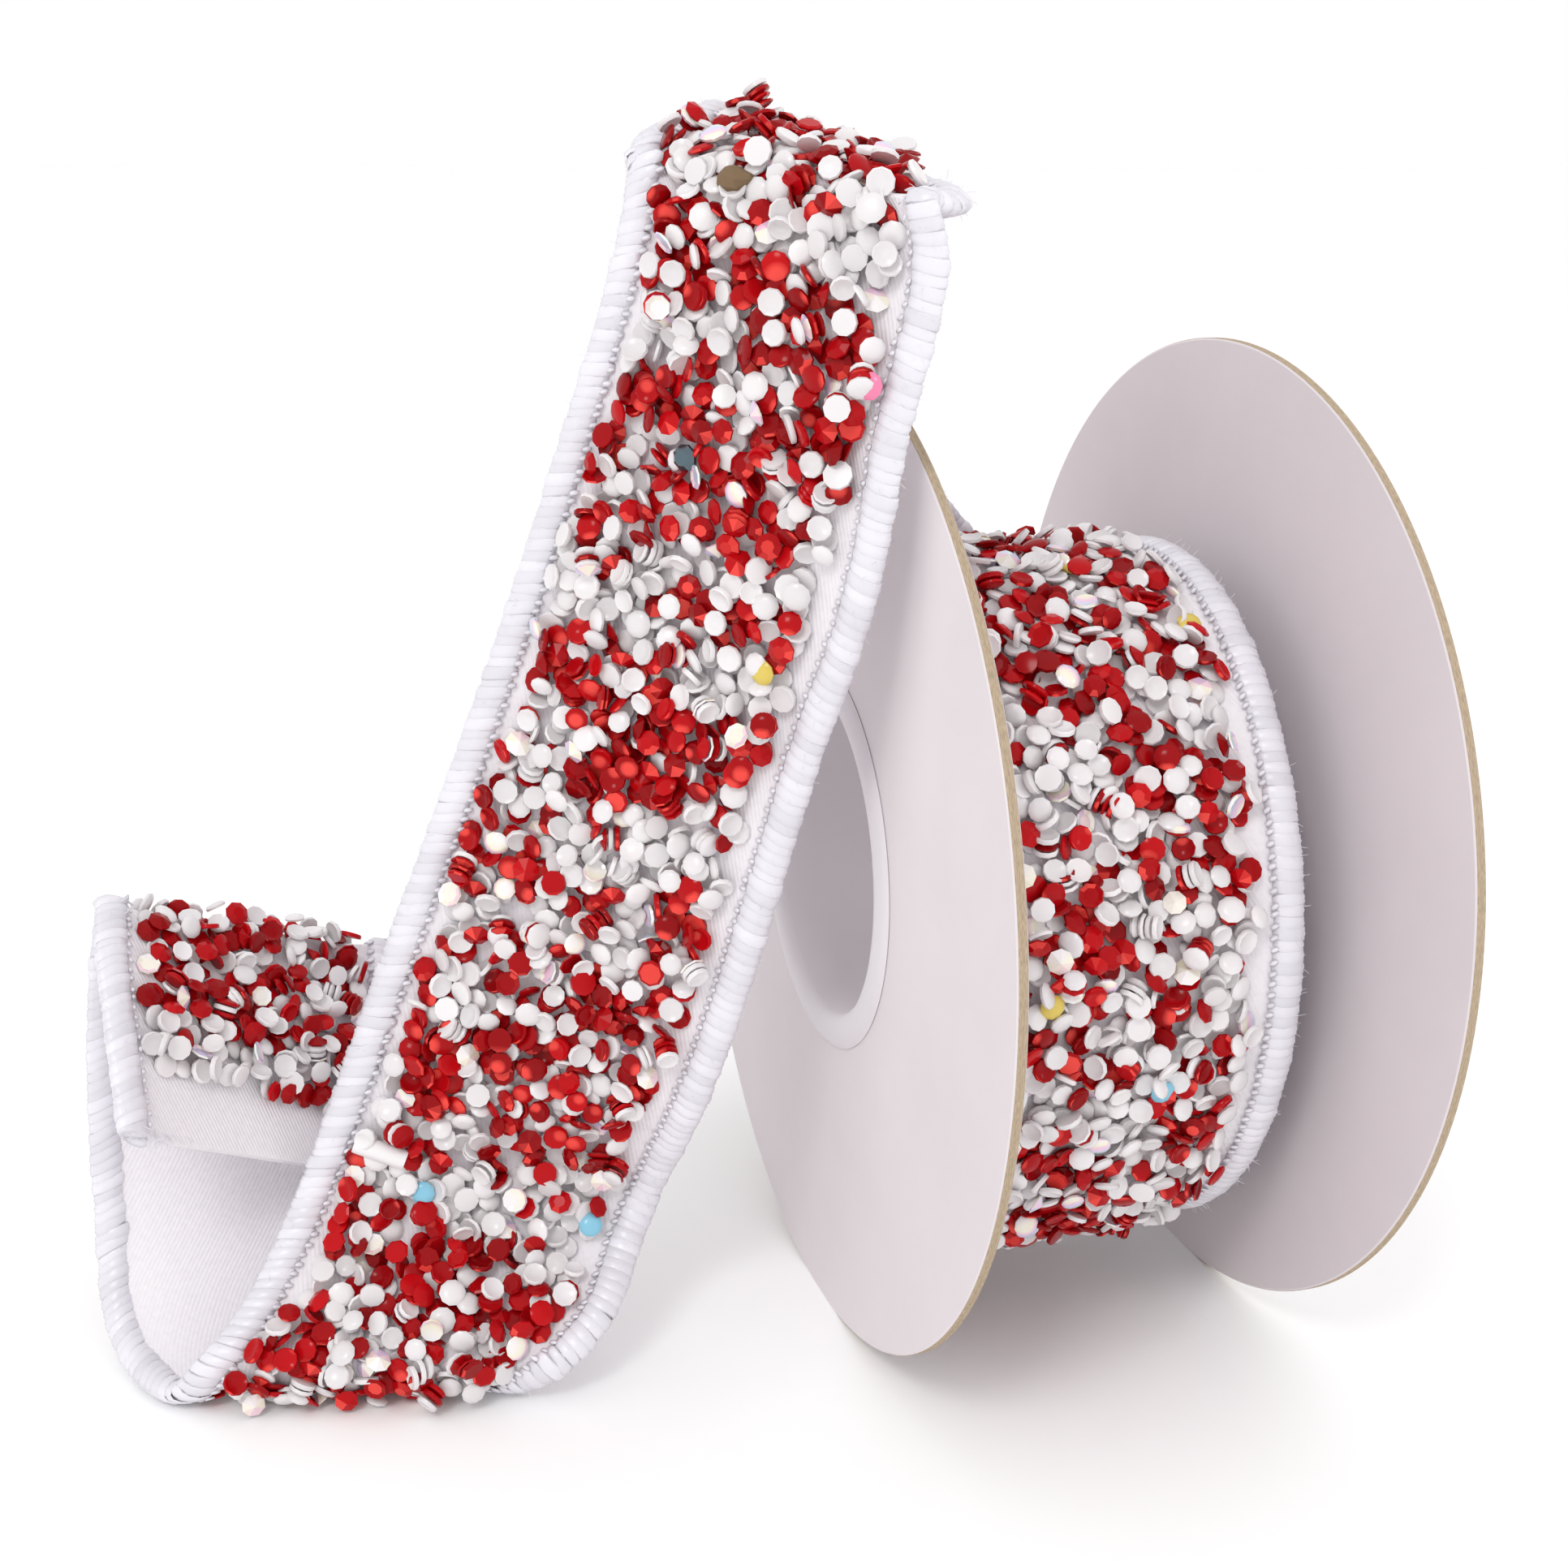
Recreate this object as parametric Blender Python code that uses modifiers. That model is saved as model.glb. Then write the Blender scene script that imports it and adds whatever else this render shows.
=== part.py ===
"""Beaded ribbon on a spool.

A wired-edge craft ribbon, closely covered with flat-backed beads, is wound on a cardboard
spool. Its loose end climbs from the back of the roll, drapes over the near flange, comes
down beside it, folds on the surface, rises again and ends in a short flap.

Frame: the spool's axis is parallel to +X. The origin is the foot of the near flange, at the
middle of its thickness. +Z is up and the surface is z = 0.
Sizes are in millimetres here and are turned to metres when a mesh is made.
"""
import math

import bmesh
import bpy
import numpy as np

MM = 0.001
TOUCH_GAP = 0.3

# Ribbon: a 38 mm (1 1/2 in) tape, 3 mm thick with its beads
RIBBON_WIDTH = 38.0
RIBBON_THICK = 3.0
EDGE_WIDTH = 3.6
EDGE_THICK = 2.4
SEAM_GAP = 0.4
BED_BEVEL = 0.8

# Spool: two chipboard flanges on a paper core
FLANGE_RADIUS = 54.0
FLANGE_THICK = 1.15
SPOOL_WIDTH = 46.6
CORE_BORE_RADIUS = 17.7
CORE_WALL = 1.3
CORE_LIP_RADIUS = 21.6
CORE_LIP_THICK = 0.5
FOOT_FLAT_DEPTH = 0.3

NEAR_X = 0.0
FAR_X = NEAR_X + SPOOL_WIDTH - FLANGE_THICK
SPOOL_Z = FLANGE_RADIUS - FOOT_FLAT_DEPTH
CORE_OUTER_RADIUS = CORE_BORE_RADIUS + CORE_WALL
FLANGE_HOLE_RADIUS = CORE_OUTER_RADIUS + TOUCH_GAP

# Roll: an outline that sags under its core, seen along the axis
ROLL_HALF_DEPTH = 34.1
ROLL_HALF_HEIGHT = 39.2
ROLL_CENTRE_Y = -2.0
ROLL_CENTRE_Z = 48.0
ROLL_X = NEAR_X + FLANGE_THICK / 2 + TOUCH_GAP
LOOSE_END_ANGLE = -5.0
ROLL_STEPS = 120

# How far the outer turn stands off that outline, by degrees of winding from the loose end
ROLL_WRAP = (
    # turned, rise
    (0.0, -2.7),
    (3.0, 1.4),
    (90.0, 0.3),
    (300.0, 0.0),
    (345.0, -2.4),
    (360.0, -2.7),
)

# The roll's section: distance in from its side, and depth under the beads
ROLL_SIDE = (
    # inset, depth
    (0.0, 2.4),
    (0.6, 1.2),
    (EDGE_WIDTH, 1.0),
    (EDGE_WIDTH + BED_BEVEL, 0.0),
)

# The loose end. Each row is a straight line across the ribbon where it bends or runs on,
# given by the line's left and right end, seen from the beaded side with the roll behind.
TAIL_ROWS = (
    # place, left x, y, z, right x, y, z
    ("leaves the roll", 1, 32, 46, 39, 32, 46),
    ("behind the roll", 2, 41, 61, 39, 32.5, 63),
    ("between the flanges", 2.5, 50, 74, 34, 31, 76),
    ("behind the near flange", -4, 55, 87, 22, 29, 91),
    ("over the near flange", -9, 56, 99, 16, 28, 103),
    ("turning to the front", -11, 48, 112, 8, 16, 118),
    ("nearly level", -12, 36, 122, 2, 1, 124),
    ("top of the drape", -15, 2, 131, 1, -32, 123),
    ("top fold, middle", -20, -1, 129, -2, -34, 123),
    ("top fold, front", -21, -3, 128, -1, -34, 119),
    ("front strand, start", -22, -6, 127, -4, -32, 101),
    ("front strand, upper", -23, -6, 122, -5, -30, 91),
    ("front strand, middle", -30, 0, 96, -9, -23, 70),
    ("front strand, lower", -48, 4, 47, -17, -13, 33),
    ("front strand, end", -62, 1, 15, -23, -7, 15),
    ("floor fold, start", -67, -3, 9, -28, -13, 9),
    ("floor fold, front", -71.5, -5, 5, -33.5, -15, 5),
    ("floor fold, rest", -73.5, -4, 2.3, -36.5, -13, 2.3),
    ("floor fold, back", -77, 2, 1.7, -40, -8, 1.7),
    ("floor fold, rise", -80, 11, 6, -43, 5, 5),
    ("floor fold, end", -80, 15, 14, -43, 14, 10),
    ("back strand, lower", -80, 16, 22, -43, 21, 16),
    ("back strand, upper", -78, 18, 45, -45, 34, 32),
    ("flap fold, top", -77, 18, 50, -44, 33, 36),
    ("flap, start", -77, 11, 47, -45, 26, 30),
    ("flap, cut end", -76, -4, 33, -47, 14, 15),
)
TAIL_STEP = 3.0
TAIL_FLAT_DEPTH = 0.3

# How finely round things are cut
FLANGE_SEGMENTS = 96
CORE_STEPS = 64
EDGE_SIDES = 8
SMOOTH_ANGLE = 40.0
SEAM_MERGE = 0.00001

CARD_WHITE = (0.78, 0.75, 0.77)
PAPER_WHITE = (0.82, 0.80, 0.81)
BEAD_ROSE = (0.72, 0.32, 0.33)
THREAD_WHITE = (0.88, 0.87, 0.91)


def clear_scene():
    for item in list(bpy.data.objects):
        bpy.data.objects.remove(item, do_unlink=True)


def new_collection(name):
    group = bpy.data.collections.new(name)
    bpy.context.scene.collection.children.link(group)
    return group


def new_material(name, colour, roughness, metallic=0.0):
    finish = bpy.data.materials.new(name)
    finish.use_nodes = True
    shader = finish.node_tree.nodes["Principled BSDF"]
    shader.inputs["Base Color"].default_value = (*colour, 1.0)
    shader.inputs["Roughness"].default_value = roughness
    shader.inputs["Metallic"].default_value = metallic
    finish.diffuse_color = (*colour, 1.0)
    return finish


def new_object(name, mesh, group, finish):
    item = bpy.data.objects.new(name, mesh)
    mesh.materials.append(finish)
    group.objects.link(item)
    return item


def add_cylinder(name, radius, length, group, finish=None):
    """A solid cylinder whose axis is parallel to X, centred on its object's origin."""
    mesh = bpy.data.meshes.new(name)
    shape = bmesh.new()
    bmesh.ops.create_cone(shape, cap_ends=True, segments=FLANGE_SEGMENTS, radius1=radius * MM,
                          radius2=radius * MM, depth=length * MM)
    shape.to_mesh(mesh)
    shape.free()
    item = bpy.data.objects.new(name, mesh)
    item.rotation_euler = (0, math.radians(90), 0)
    group.objects.link(item)
    if finish:
        mesh.materials.append(finish)
    return item


def add_cutter(item, cutter):
    cutter.hide_render = True
    cutter.display_type = "WIRE"
    cut = item.modifiers.new(cutter.name, "BOOLEAN")
    cut.operation = "DIFFERENCE"
    cut.solver = "EXACT"
    cut.object = cutter


def add_flange(name, x, group, cutters, finish):
    """A round chipboard flange with its core hole and a small flat where it stands."""
    flange = add_cylinder(name, FLANGE_RADIUS, FLANGE_THICK, group, finish)
    flange.location = (x * MM, 0, SPOOL_Z * MM)
    hole = add_cylinder(name + "_hole", FLANGE_HOLE_RADIUS, 2 * FLANGE_THICK, cutters)
    hole.location = flange.location
    add_cutter(flange, hole)
    block_mesh = bpy.data.meshes.new(name + "_floor")
    shape = bmesh.new()
    bmesh.ops.create_cube(shape, size=FLANGE_RADIUS * MM)
    shape.to_mesh(block_mesh)
    shape.free()
    block = bpy.data.objects.new(name + "_floor", block_mesh)
    block.location = (x * MM, 0, -FLANGE_RADIUS / 2 * MM)
    cutters.objects.link(block)
    add_cutter(flange, block)
    return flange


def add_core(group, finish):
    """The paper core, a tube whose two ends are rolled out over the flanges."""
    lip_outer = SPOOL_WIDTH / 2 + TOUCH_GAP + CORE_LIP_THICK
    lip_inner = SPOOL_WIDTH / 2 + TOUCH_GAP
    bore, wall, lip = CORE_BORE_RADIUS, CORE_OUTER_RADIUS, CORE_LIP_RADIUS
    mouth = CORE_LIP_THICK
    profile = (
        (lip, lip_outer - mouth / 2), (lip - mouth / 2, lip_outer), (bore + mouth, lip_outer),
        (bore, lip_outer - mouth), (bore, mouth - lip_outer), (bore + mouth, -lip_outer),
        (lip - mouth / 2, -lip_outer), (lip, mouth / 2 - lip_outer), (lip, -lip_inner),
        (wall, -lip_inner), (wall, lip_inner), (lip, lip_inner),
    )
    mesh = bpy.data.meshes.new("spool_core")
    points = [(radius * MM, 0, along * MM) for radius, along in reversed(profile)]
    count = len(points)
    mesh.from_pydata(points, [(i, (i + 1) % count) for i in range(count)], [])
    core = new_object("spool_core", mesh, group, finish)
    turn = core.modifiers.new("turned", "SCREW")
    turn.steps = CORE_STEPS
    turn.render_steps = CORE_STEPS
    turn.use_merge_vertices = True
    turn.merge_threshold = SEAM_MERGE
    core.rotation_euler = (0, math.radians(90), 0)
    core.location = ((NEAR_X + FAR_X) / 2 * MM, 0, SPOOL_Z * MM)
    return core


def loft(name, rings, group, finish, closed=False):
    """Joins equal rings of points into one solid, capped at its ends unless it is closed."""
    shape = bmesh.new()
    rows = [[shape.verts.new(tuple(point * MM)) for point in ring] for ring in rings]
    size = len(rows[0])
    pairs = list(zip(rows, rows[1:]))
    if closed:
        pairs.append((rows[-1], rows[0]))
    for row, following in pairs:
        for k in range(size):
            after = (k + 1) % size
            shape.faces.new((row[k], row[after], following[after], following[k]))
    if not closed:
        shape.faces.new(list(reversed(rows[0])))
        shape.faces.new(rows[-1])
    bmesh.ops.recalc_face_normals(shape, faces=shape.faces)
    bmesh.ops.triangulate(shape, faces=shape.faces)
    mesh = bpy.data.meshes.new(name)
    shape.to_mesh(mesh)
    shape.free()
    item = new_object(name, mesh, group, finish)
    mesh.shade_smooth()
    mesh.set_sharp_from_angle(angle=math.radians(SMOOTH_ANGLE))
    return item


def roll_outline(turned, depth):
    """A point of the roll's outline after a winding angle from the loose end, as (y, z)."""
    angle = math.radians(LOOSE_END_ANGLE - turned)
    columns = np.array(ROLL_WRAP)
    rise = np.interp(turned, columns[:, 0], columns[:, 1]) - depth
    return (ROLL_CENTRE_Y + (ROLL_HALF_DEPTH + rise) * math.cos(angle),
            ROLL_CENTRE_Z + (ROLL_HALF_HEIGHT + rise) * math.sin(angle))


def add_roll(group, finish):
    """The wound ribbon as one annular solid, with a step where the outer turn lifts off."""
    right_x = ROLL_X + RIBBON_WIDTH
    sides = [(ROLL_X + inset, depth) for inset, depth in ROLL_SIDE]
    sides += [(right_x - inset, depth) for inset, depth in reversed(ROLL_SIDE)]
    inner = CORE_OUTER_RADIUS + TOUCH_GAP
    rings = []
    for step in range(ROLL_STEPS):
        turned = 360.0 * step / ROLL_STEPS
        angle = math.radians(LOOSE_END_ANGLE - turned)
        y, z = inner * math.cos(angle), SPOOL_Z + inner * math.sin(angle)
        outer = [(x, *roll_outline(turned, depth)) for x, depth in sides]
        rings.append(np.array(outer + [(right_x, y, z), (ROLL_X, y, z)]))
    return loft("ribbon_roll", rings, group, finish, closed=True)


def tail_lines():
    """Smooth left and right edges through the rows, a line across every few millimetres."""
    ends = np.array([row[1:] for row in TAIL_ROWS], dtype=float)
    left, right = ends[:, :3], ends[:, 3:]
    spans = 0.5 * (np.linalg.norm(np.diff(left, axis=0), axis=1)
                   + np.linalg.norm(np.diff(right, axis=0), axis=1))
    slopes = np.diff(ends, axis=0) / spans[:, None]
    heading = np.empty_like(ends)
    heading[0], heading[-1] = slopes[0], slopes[-1]
    heading[1:-1] = ((slopes[:-1] * spans[1:, None] + slopes[1:] * spans[:-1, None])
                     / (spans[1:] + spans[:-1])[:, None])
    lines = []
    for k, span in enumerate(spans):
        for part in np.arange(max(2, round(span / TAIL_STEP))) / max(2, round(span / TAIL_STEP)):
            near, far = (1 + 2 * part) * (1 - part) ** 2, part * part * (3 - 2 * part)
            lines.append(ends[k] * near + ends[k + 1] * far
                         + heading[k] * span * part * (1 - part) ** 2
                         + heading[k + 1] * span * part * part * (part - 1))
    lines = np.array(lines + [ends[-1]])
    return lines[:, :3], lines[:, 3:]


def tail_rings(section):
    """Places a cross-section, as (across, off) pairs in mm, on every line of the loose end."""
    left, right = tail_lines()
    run_left, run_right = np.gradient(left, axis=0), np.gradient(right, axis=0)
    rings = []
    for k in range(len(left)):
        across = right[k] - left[k]
        ring = []
        for place, off in section:
            part = place / RIBBON_WIDTH + 0.5
            run = (1 - part) * run_left[k] + part * run_right[k]
            normal = np.cross(run, across)
            normal /= np.linalg.norm(normal)
            ring.append(left[k] + part * across + off * normal)
        rings.append(np.array(ring))
    return rings


def rest_on_surface(rings, lowest):
    """Sets the loose end down by the same step for all its pieces, and flattens its foot."""
    settled = []
    for ring in rings:
        low = ring.copy()
        low[:, 2] = np.maximum(ring[:, 2] - lowest - TAIL_FLAT_DEPTH, 0.0)
        settled.append(low)
    return settled


def add_tail(group, cloth_finish, edge_finish):
    """The loose end: the beaded tape and its two wired, overlocked edges."""
    half, thick = RIBBON_WIDTH / 2 - EDGE_WIDTH - SEAM_GAP, RIBBON_THICK / 2
    tape = ((-half, -thick), (0, -thick), (half, -thick), (half, 0), (half - BED_BEVEL, thick),
            (0, thick), (BED_BEVEL - half, thick), (-half, 0))
    tape_rings = tail_rings(tape)
    on_surface = min(ring[:, 2].min() for ring in tape_rings)
    loft("tail_tape", rest_on_surface(tape_rings, on_surface), group, cloth_finish)
    for side, name in ((-1, "tail_edge_left"), (1, "tail_edge_right")):
        middle = side * (RIBBON_WIDTH - EDGE_WIDTH) / 2
        round_edge = [(middle + EDGE_WIDTH / 2 * math.cos(a), EDGE_THICK / 2 * math.sin(a))
                      for a in (math.tau * k / EDGE_SIDES for k in range(EDGE_SIDES))]
        loft(name, rest_on_surface(tail_rings(round_edge), on_surface), group, edge_finish)


def main():
    clear_scene()
    pieces = new_collection("beaded_ribbon_on_spool")
    cutters = new_collection("cutters")
    card = new_material("white_lined_chipboard", CARD_WHITE, 0.75)
    paper = new_material("white_core_paper", PAPER_WHITE, 0.7)
    wound = new_material("wound_beaded_tape", BEAD_ROSE, 0.4)
    tape = new_material("beaded_tape", BEAD_ROSE, 0.4)
    thread = new_material("overlock_thread", THREAD_WHITE, 0.5)
    add_flange("flange_near", NEAR_X, pieces, cutters, card)
    add_flange("flange_far", FAR_X, pieces, cutters, card)
    add_core(pieces, paper)
    add_roll(pieces, wound)
    add_tail(pieces, tape, thread)


main()
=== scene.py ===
import math

import bmesh
import bpy
import numpy as np
from mathutils import Matrix, Vector


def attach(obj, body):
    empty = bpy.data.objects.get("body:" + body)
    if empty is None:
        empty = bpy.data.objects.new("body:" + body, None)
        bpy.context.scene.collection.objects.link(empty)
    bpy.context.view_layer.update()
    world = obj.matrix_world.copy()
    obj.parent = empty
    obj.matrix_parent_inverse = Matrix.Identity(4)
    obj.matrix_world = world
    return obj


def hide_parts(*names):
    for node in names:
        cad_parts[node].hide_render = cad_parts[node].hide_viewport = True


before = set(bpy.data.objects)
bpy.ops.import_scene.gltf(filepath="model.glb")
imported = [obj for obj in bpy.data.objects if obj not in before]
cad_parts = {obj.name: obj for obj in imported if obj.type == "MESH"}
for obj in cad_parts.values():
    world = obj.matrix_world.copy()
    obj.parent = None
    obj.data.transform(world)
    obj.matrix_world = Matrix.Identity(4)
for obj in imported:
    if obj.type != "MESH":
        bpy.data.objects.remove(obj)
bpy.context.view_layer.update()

# Looks of a beaded ribbon wound on a cardboard spool, with its loose end draped over one
# flange. Lengths in the tables below are millimetres, as in the part's own source, and the
# frame is the same: +X along the spool's axis, +Z up, the surface at z = 0.

bl_info = {
    "name": "Beaded ribbon on a spool",
    "version": (1, 0, 0),
    "blender": (4, 5, 0),
    "location": "3D View > Sidebar > Ribbon",
    "description": "Makes a wired ribbon covered with beads, wound on a cardboard spool",
    "category": "Add Mesh",
}

MM = 0.001

# Ribbon: offsets are from the middle of its 3 mm with the beads, towards the beaded side
RIBBON_WIDTH = 38.0
RIBBON_THICK = 3.0
EDGE_WIDTH = 3.6
TAIL_FLAT_DEPTH = 0.3
LINE_STEP = 1.0

# Cloth: it rises from its middle to its borders between two distances from the middle line
CLOTH_HALF_WIDTH = 18.3
CLOTH_THICK = 0.8
CLOTH_MIDDLE = -1.05
CLOTH_BORDER = -0.35
RISE_STARTS = 12.5
RISE_ENDS = 17.0
EDGE_CORE_HALF_WIDTH = 1.72
EDGE_CORE_HALF_HEIGHT = 0.97

# Spool
FLANGE_RADIUS = 54.0
FLANGE_THICK = 1.15
SPOOL_WIDTH = 46.6
CORE_BORE_RADIUS = 17.7
CORE_WALL = 1.3
CORE_LIP_RADIUS = 21.6
CORE_LIP_THICK = 0.5
TOUCH_GAP = 0.3
FOOT_FLAT_DEPTH = 0.3
NEAR_X = 0.0
FAR_X = NEAR_X + SPOOL_WIDTH - FLANGE_THICK
SPOOL_Z = FLANGE_RADIUS - FOOT_FLAT_DEPTH
CORE_OUTER_RADIUS = CORE_BORE_RADIUS + CORE_WALL
FLANGE_SEGMENTS = 192
CORE_SEGMENTS = 128

# The flange's cut rim, with a groove round its middle, and how far the core's lip reaches
# back over the gap to lie on the flange
RIM_ROUNDING = 0.25
RIM_SHOULDER = 0.06
GROOVE_HALF_WIDTH = 0.17
GROOVE_DEPTH = 0.07
CUT_FACE_DEPTH = 0.08
LIP_SEAT = 0.28

# Roll: an outline that sags under its core, seen along the axis
ROLL_HALF_DEPTH = 34.1
ROLL_HALF_HEIGHT = 39.2
ROLL_CENTRE_Y = -2.0
ROLL_CENTRE_Z = 48.0
ROLL_X = NEAR_X + FLANGE_THICK / 2 + TOUCH_GAP
LOOSE_END_ANGLE = -5.0
ROLL_GIRTH = 220.0
ROLL_STEPS = 240

# The roll's side: how many turns show, and how far each turn's edge is set in, by shares of
# its thickness from outside to inside
ROLL_TURNS_SHOWN = 6
TURN_INSETS = ((0.12, 1.0), (0.25, 0.25), (0.5, 0.0), (0.75, 0.25), (0.9, 1.0))
OUTERMOST_INSET = 0.5
INNERMOST_INSET = 1.0
SPIRAL_SHARE = 0.8

# Pieces that fell among the beads, by the pixel of the photo where each is seen
PHOTO_PIXELS = 1932
ODD_PIECES = (
    # what, where, column, row
    ("yellow", "roll", 1470, 755), ("yellow", "roll", 1320, 690), ("yellow", "roll", 1210, 655),
    ("yellow", "roll", 1310, 1250), ("yellow", "loose", 925, 835), ("blue", "roll", 1440, 1355),
    ("blue", "loose", 530, 1480), ("blue", "loose", 720, 1500), ("pink", "loose", 1060, 485),
    ("tube", "loose", 470, 1420), ("crystal", "loose", 830, 560), ("seed", "loose", 895, 215),
)
ODD_HEIGHT = 2.1
ODD_SHADE = 0.8
NEAREST_PLACES = 6

# How far the outer turn stands off that outline, by degrees of winding from the loose end
ROLL_WRAP = (
    # turned, rise
    (0.0, 1.2),
    (3.0, 1.4),
    (90.0, 0.3),
    (300.0, 0.0),
    (345.0, -2.4),
    (360.0, -2.7),
)

# The loose end. Each row is a straight line across the ribbon where it bends or runs on,
# given by the line's left and right end, seen from the beaded side with the roll behind.
TAIL_ROWS = (
    # place, left x, y, z, right x, y, z
    ("leaves the roll", 1, 32, 46, 39, 32, 46),
    ("behind the roll", 2, 41, 61, 39, 32.5, 63),
    ("between the flanges", 2.5, 50, 74, 34, 31, 76),
    ("behind the near flange", -4, 55, 87, 22, 29, 91),
    ("over the near flange", -9, 56, 99, 16, 28, 103),
    ("turning to the front", -11, 48, 112, 8, 16, 118),
    ("nearly level", -12, 36, 122, 2, 1, 124),
    ("top of the drape", -15, 2, 131, 1, -32, 123),
    ("top fold, middle", -20, -1, 129, -2, -34, 123),
    ("top fold, front", -21, -3, 128, -1, -34, 119),
    ("front strand, start", -22, -6, 127, -4, -32, 101),
    ("front strand, upper", -23, -6, 122, -5, -30, 91),
    ("front strand, middle", -30, 0, 96, -9, -23, 70),
    ("front strand, lower", -48, 4, 47, -17, -13, 33),
    ("front strand, end", -62, 1, 15, -23, -7, 15),
    ("floor fold, start", -67, -3, 9, -28, -13, 9),
    ("floor fold, front", -71.5, -5, 5, -33.5, -15, 5),
    ("floor fold, rest", -73.5, -4, 2.3, -36.5, -13, 2.3),
    ("floor fold, back", -77, 2, 1.7, -40, -8, 1.7),
    ("floor fold, rise", -80, 11, 6, -43, 5, 5),
    ("floor fold, end", -80, 15, 14, -43, 14, 10),
    ("back strand, lower", -80, 16, 22, -43, 21, 16),
    ("back strand, upper", -78, 18, 45, -45, 34, 32),
    ("flap fold, top", -77, 18, 50, -44, 33, 36),
    ("flap, start", -77, 11, 47, -45, 26, 30),
    ("flap, cut end", -76, -4, 33, -47, 14, 15),
)

# Beads: thickness as a share of their size, the share of the steep ones that are stacks, how
# often a stack changes colour, and the share that lie face up
BEAD_THICK = 0.27
STACK_SHARE = 0.22
STACK_CHANGES = 0.4
FACE_UP_SHARE = 0.68

# Pouring: the cloth's cells and their margin, the places tried for each bead, how high over
# the cloth it may rest, the percentage of what lies under it that it rests above, the uneven
# borders, and the bare lengths before the first and after the last bead
CELL = 0.25
MARGIN = 9
TRIES = 5
LEVEL_NOISE = 0.5
HIGHEST_REST = 2.3
REST_PERCENTILE = 86
LEFT_BORDER = (-1.0, 0.4)
RIGHT_BORDER = (-2.0, -0.3)
BARE_ENDS = {"loose": (3.0, 7.0), "roll": (20.0, 1.0)}

# Tilt: a steep bead's angle in radians, and for others the share of the slope under them
# that they take, what is added at random and the steepest slope
STEEP_ANGLES = (0.55, 1.3)
SLOPE_SHARES = (0.5, 1.1)
SLOPE_NOISE = 0.17
STEEPEST_SLOPE = 1.1

# Patches of one colour: waves over the cloth, in radians a millimetre, and their strength
WAVES = 7
WAVE_SPREAD = 0.45
PATCH_STRENGTH = 0.9

# Sections of thread, as shares of its width and of its thickness: one round strand, and a
# satin bundle in which three strands lie side by side
ROUND_THREAD = ((0.5, 0.0), (0.0, 0.5), (-0.5, 0.0), (0.0, -0.5))
SATIN_BUNDLE = ((0.5, -0.2), (0.34, 0.42), (0.17, 0.34), (0.0, 0.66), (-0.17, 0.34),
                (-0.34, 0.42), (-0.5, -0.2), (0.0, -0.35))
THREAD_END_SHARE = 0.6

# Stitches and fibres: the wrap round the edge and how far along its inner end is on each
# side, the distance between loose fibres on each side, and where the longest yarns of the
# cut end stop, counted across from the middle
WRAP_RADIUS = 1.75
LEFT_WRAP_SLANT = 1.5
RIGHT_WRAP_SLANT = -0.3
LEFT_FUZZ_GAP = 1.6
RIGHT_FUZZ_GAP = 0.5
FIBRE_THICK = 0.045
LONG_YARNS_END = -12.0

# The way a red bead's facet turns to get a painted glint, standing in for the light its foiled back
# throws back, and the Mix node's colour sockets, which share their names with its other kinds
PAINTED_GLINT_WAY = (-0.42, -0.88, -0.16)
MIX_FIRST_COLOUR = 6
MIX_SECOND_COLOUR = 7
MIX_COLOUR_OUT = 2

# The camera, set where the two flange rims, the hole and the roll match the photo
CAMERA_PLACE = (-70.4, -212.8, 126.6)
CAMERA_TARGET = (-7.6, -8.3, 64.3)
CAMERA_LENS = 49.4
SENSOR_WIDTH = 36.0

# The floor and the lamps, in metres
FLOOR_HALF_WIDTH = 40
KEY_PLACE = (-0.55, -0.75, 0.95)
FILL_PLACE = (0.9, -0.55, 0.5)
LAMPS_TARGET = (0, 0, 0.06)
LAMP_SIZE = 0.3


def linear(hex_colour):
    """Turns an sRGB hex colour to the linear RGBA that shaders use."""
    parts = [int(hex_colour[i:i + 2], 16) / 255 for i in (1, 3, 5)]
    return (*(v / 12.92 if v <= 0.04045 else ((v + 0.055) / 1.055) ** 2.4 for v in parts), 1.0)


def darker(colour, share):
    """A linear colour at a share of its brightness."""
    return tuple(v * share for v in colour[:3]) + (1.0,)


def colour_setting(name, description, hex_colour):
    return bpy.props.FloatVectorProperty(name=name, description=description, subtype="COLOR",
                                         size=4, min=0.0, max=1.0, default=linear(hex_colour))


def number_setting(name, description, default, unit="NONE"):
    return bpy.props.FloatProperty(name=name, description=description, default=default, unit=unit)


class BeadSettings(bpy.types.PropertyGroup):
    """The beads poured on the ribbon."""
    size: number_setting("Bead size", "Diameter of a bead", 0.0026, "LENGTH")
    spread: number_setting("Size spread", "Share by which bead sizes differ", 0.1)
    field: number_setting("Beaded width", "Width of the cloth that beads cover", 0.0300, "LENGTH")
    density: number_setting("Beads", "Beads on each square millimetre", 0.34)
    steep_share: number_setting("Steep share", "Share of beads that lie steep or on edge", 0.24)
    red_share: number_setting("Red share", "Share of beads that are red", 0.44)
    pearl_share: number_setting("Iridescent share", "Share of beads with a rainbow coat", 0.05)
    seed: bpy.props.IntProperty(name="Seed", description="Sets how the beads fall", default=7)
    red: colour_setting("Red", "Red bead", "#BE0C14")
    white: colour_setting("White", "White bead", "#EAE6E7")


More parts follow.
